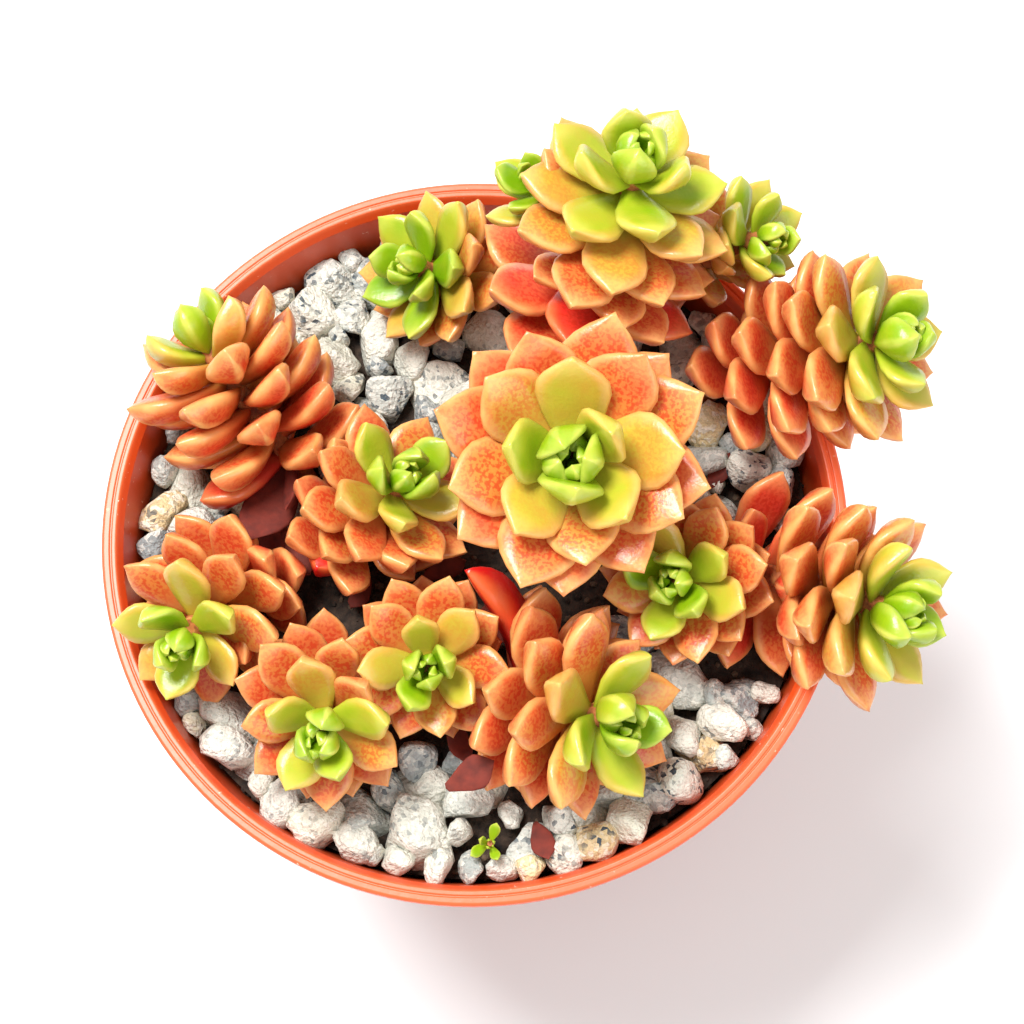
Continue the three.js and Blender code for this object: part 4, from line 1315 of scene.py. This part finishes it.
def bed_tree():
    sockets = [
        ("Unevenness", "Float", 0.0009),
        ("Crumb Gap", "Float", 0.0011),
        ("Crumb Size", "Float", 0.00055),
        ("Seed", "Int", 7),
        ("Mix", "Material", None),
    ]
    tree, inputs = new_tree("crumbly_bed", sockets)
    rise = unevenness(tree, 300, 4, inputs["Unevenness"], 0.55)
    rise = times(tree, rise, named(tree, "top"))
    rise = wire(tree, "ShaderNodeCombineXYZ", {"Z": rise}).outputs[0]
    bed = wire(tree, "GeometryNodeSetPosition", {0: inputs["Geometry"], "Offset": rise}).outputs[0]
    inner = sums(tree, "GREATER_THAN", named(tree, "top"), 0.99)
    spread = {0: bed, "Selection": inner, "Distance Min": inputs["Crumb Gap"]}
    spread.update({"Density Max": 500000.0, "Seed": inputs["Seed"]})
    spots = wire(tree, "GeometryNodeDistributePointsOnFaces", spread, distribute_method="POISSON")
    lump = wire(tree, "GeometryNodeMeshIcoSphere", {"Radius": 1.0, "Subdivisions": 1}).outputs[0]
    size = times(tree, chance(tree, 0.35, 1.3, 3), inputs["Crumb Size"])
    scale = wire(tree, "ShaderNodeCombineXYZ", [size, size, times(tree, size, 0.7)]).outputs[0]
    turn = {1: (6.3, 6.3, 6.3), "Seed": 4}
    turn = wire(tree, "FunctionNodeRandomValue", turn, data_type="FLOAT_VECTOR").outputs[0]
    turn = wire(tree, "FunctionNodeEulerToRotation", [turn]).outputs[0]
    crumbs = {0: spots.outputs[0], "Instance": lump, "Rotation": turn, "Scale": scale}
    crumbs = wire(tree, "GeometryNodeInstanceOnPoints", crumbs).outputs[0]
    shade = {0: crumbs, "Name": "shade", "Value": chance(tree, 0.0, 1.0, 5)}
    settings = {"domain": "INSTANCE", "data_type": "FLOAT"}
    crumbs = wire(tree, "GeometryNodeStoreNamedAttribute", shade, **settings).outputs[0]
    crumbs = wire(tree, "GeometryNodeRealizeInstances", [crumbs]).outputs[0]
    finish_tree(tree, coated(tree, joined(tree, bed, crumbs), inputs["Mix"]), False)
    return tree

# %% [markdown]
# Potting mix is dark brown peat with some paler crumbs of bark.

# %% Potting mix
def make_potting_mix():
    material, tree, shader, where = new_material("potting_mix", 0.95)
    stops = [(0.3, paint(26, 20, 17)), (0.7, paint(74, 58, 46))]
    earth = colour_ramp(tree, noise(tree, 900, 4, where), stops)
    grit = between(tree, reading(tree, "shade"), 0.72, 0.8)
    earth = mixed(tree, times(tree, grit, 0.7), earth, paint(112, 92, 72))
    tree.links.new(earth, shader.inputs["Base Color"])
    roughen(tree, shader, noise(tree, 1800, 4, where), 0.0004)
    return material


potting_mix = make_potting_mix()
bed = build("gravel_bed", bed_plug(), bed_tree(), mix=potting_mix)
hand_over(bed, "gravel", "gravel")
# The soil under the bed keeps its plain solid and takes the same mix.
frame["nodes"]["potting_soil"].data.materials.clear()
frame["nodes"]["potting_soil"].data.materials.append(potting_mix)

# %% [markdown]
# ## Dry leaves on the stones
# A shed leaf shrinks to a thin, curled scrap. It is the same leaf with little flesh, a strong bend
# and deep wrinkles, so the shoot's tree makes it from a single point. It lies where its solid lies.

# %% One dry leaf, and a piece made of some
def dry_leaf(base, ahead, up, length, width, thick, bend, slant=0.0):
    forward = ahead * math.cos(bend / 2) - up * math.sin(bend / 2)
    upward = ahead * math.sin(bend / 2) + up * math.cos(bend / 2)
    ways = {"forward": forward, "upward": upward, "sideways": np.cross(forward, upward)}
    sizes = {"length": length * MM, "half": width / 2 * MM, "flesh": thick * MM, "bend": bend}
    return {"base": base, **ways, **sizes, "slant": slant, "dry": 1.0, "tone": 1.0}


def build_dry_leaves(name, leaves):
    columns = {key: [leaf[key] for leaf in leaves] for key in leaves[0]}
    return build_leaves(name, columns, mesh_of_points("no_stem", [(0, 0, 0)], girth=[0.0]))

# %% [markdown]
# Three shed leaves lie on the stones near the rim. Each has a solid of its own, whose box says where.

# %% Lay the dry leaves
# Name, length, width, thickness, the way it points and its curl in degrees.
DRY_LEAVES = [
    ("dry_leaf_by_rim", 6, 4, 1.2, -100, 30),
    ("dry_leaf_front", 6.5, 4.2, 1, 30, 40),
    ("dry_leaf_front_right", 5, 3, 1, -70, 40),
]


def lay_dry_leaf(name, length, width, thick, turned, curl):
    low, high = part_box(name)
    turn, bend = math.radians(turned), math.radians(curl)
    ahead, up = np.array([math.cos(turn), math.sin(turn), 0]), np.array([0, 0, 1])
    radius = length * MM / bend
    chord = 2 * radius * math.sin(bend / 2)
    sag = radius * (1 - math.cos(bend / 2))
    middle = np.array([(low.x + high.x) / 2, (low.y + high.y) / 2, low.z + 0.9 * thick * MM + sag])
    leaf = dry_leaf(middle - ahead * chord / 2, ahead, up, length, width, thick, bend)
    hand_over(build_dry_leaves(name + "_curled", [leaf]), "dry_leaf", name)


for row in DRY_LEAVES:
    lay_dry_leaf(*row)

# %% [markdown]
# More scraps lie among the stems, where old leaves have dried up and dropped. They have no solids of
# their own. They rest on the bed in the shade of the plant, all in one piece.

# %% Scatter the scraps
# X, y, z, length, width, the way it points and its curl in degrees.
SCRAPS = [
    (-25.5, 0, 75, 8, 4.6, 60, 50),
    (-21.5, -2, 74.5, 7, 3.6, -60, 90),
    (-11.8, -10.4, 73, 5, 2.4, 20, 110),
    (-9, -7, 73, 6, 3, 140, 80),
    (-14, -6.5, 73, 5.5, 2.6, -110, 100),
    (0.9, -9.6, 74, 6.5, 2.4, 80, 130),
    (3.2, -12, 75.5, 5, 1.8, -40, 150),
    (5, -8, 73, 6, 2.8, 170, 70),
    (-1.8, -25, 75.5, 6, 3.2, -80, 40),
    (-3.5, -3, 73, 6.5, 3, 30, 90),
    (15, -14, 74, 6, 2.6, 100, 80),
    (34, -4, 74, 6, 3, -20, 90),
    (30, 9, 74, 6, 2.8, 60, 100),
    (-18, 3, 74, 6, 2.6, 0, 110),
    (41, -7.4, 74.5, 5.5, 2.2, 70, 120),
]
SCRAP_THICKNESS = 0.8
SCRAP_TILT = 0.35

scraps = []
for number, (x, y, z, length, width, turned, curl) in enumerate(SCRAPS):
    turn = math.radians(turned)
    ahead = np.array([math.cos(turn), math.sin(turn), 0])
    up = np.array([SCRAP_TILT * draw(number, 61), SCRAP_TILT * draw(number, 62), 1])
    up = up - ahead * up.dot(ahead)
    up /= np.linalg.norm(up)
    base = (np.array([x, y, z]) - ahead * length / 2) * MM
    slant = 0.5 * draw(number, 63)
    scraps.append(dry_leaf(base, ahead, up, length, width, SCRAP_THICKNESS, math.radians(curl), slant))
hand_over(build_dry_leaves("dry_scraps", scraps), "dry_leaf")
bpy.data.objects.remove(leaf_pattern)

# %% [markdown]
# ## Sizes at the finish
# The boxes of the solid model and of the finer bodies are printed side by side.

# %% Finish
bpy.context.view_layer.update()
visual_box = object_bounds()
sizes = {"cad": [list(corner) for corner in cad_box], "visual": [list(corner) for corner in visual_box]}
for label, box in sizes.items():
    print(label, [[round(c / MM, 1) for c in corner] for corner in box])
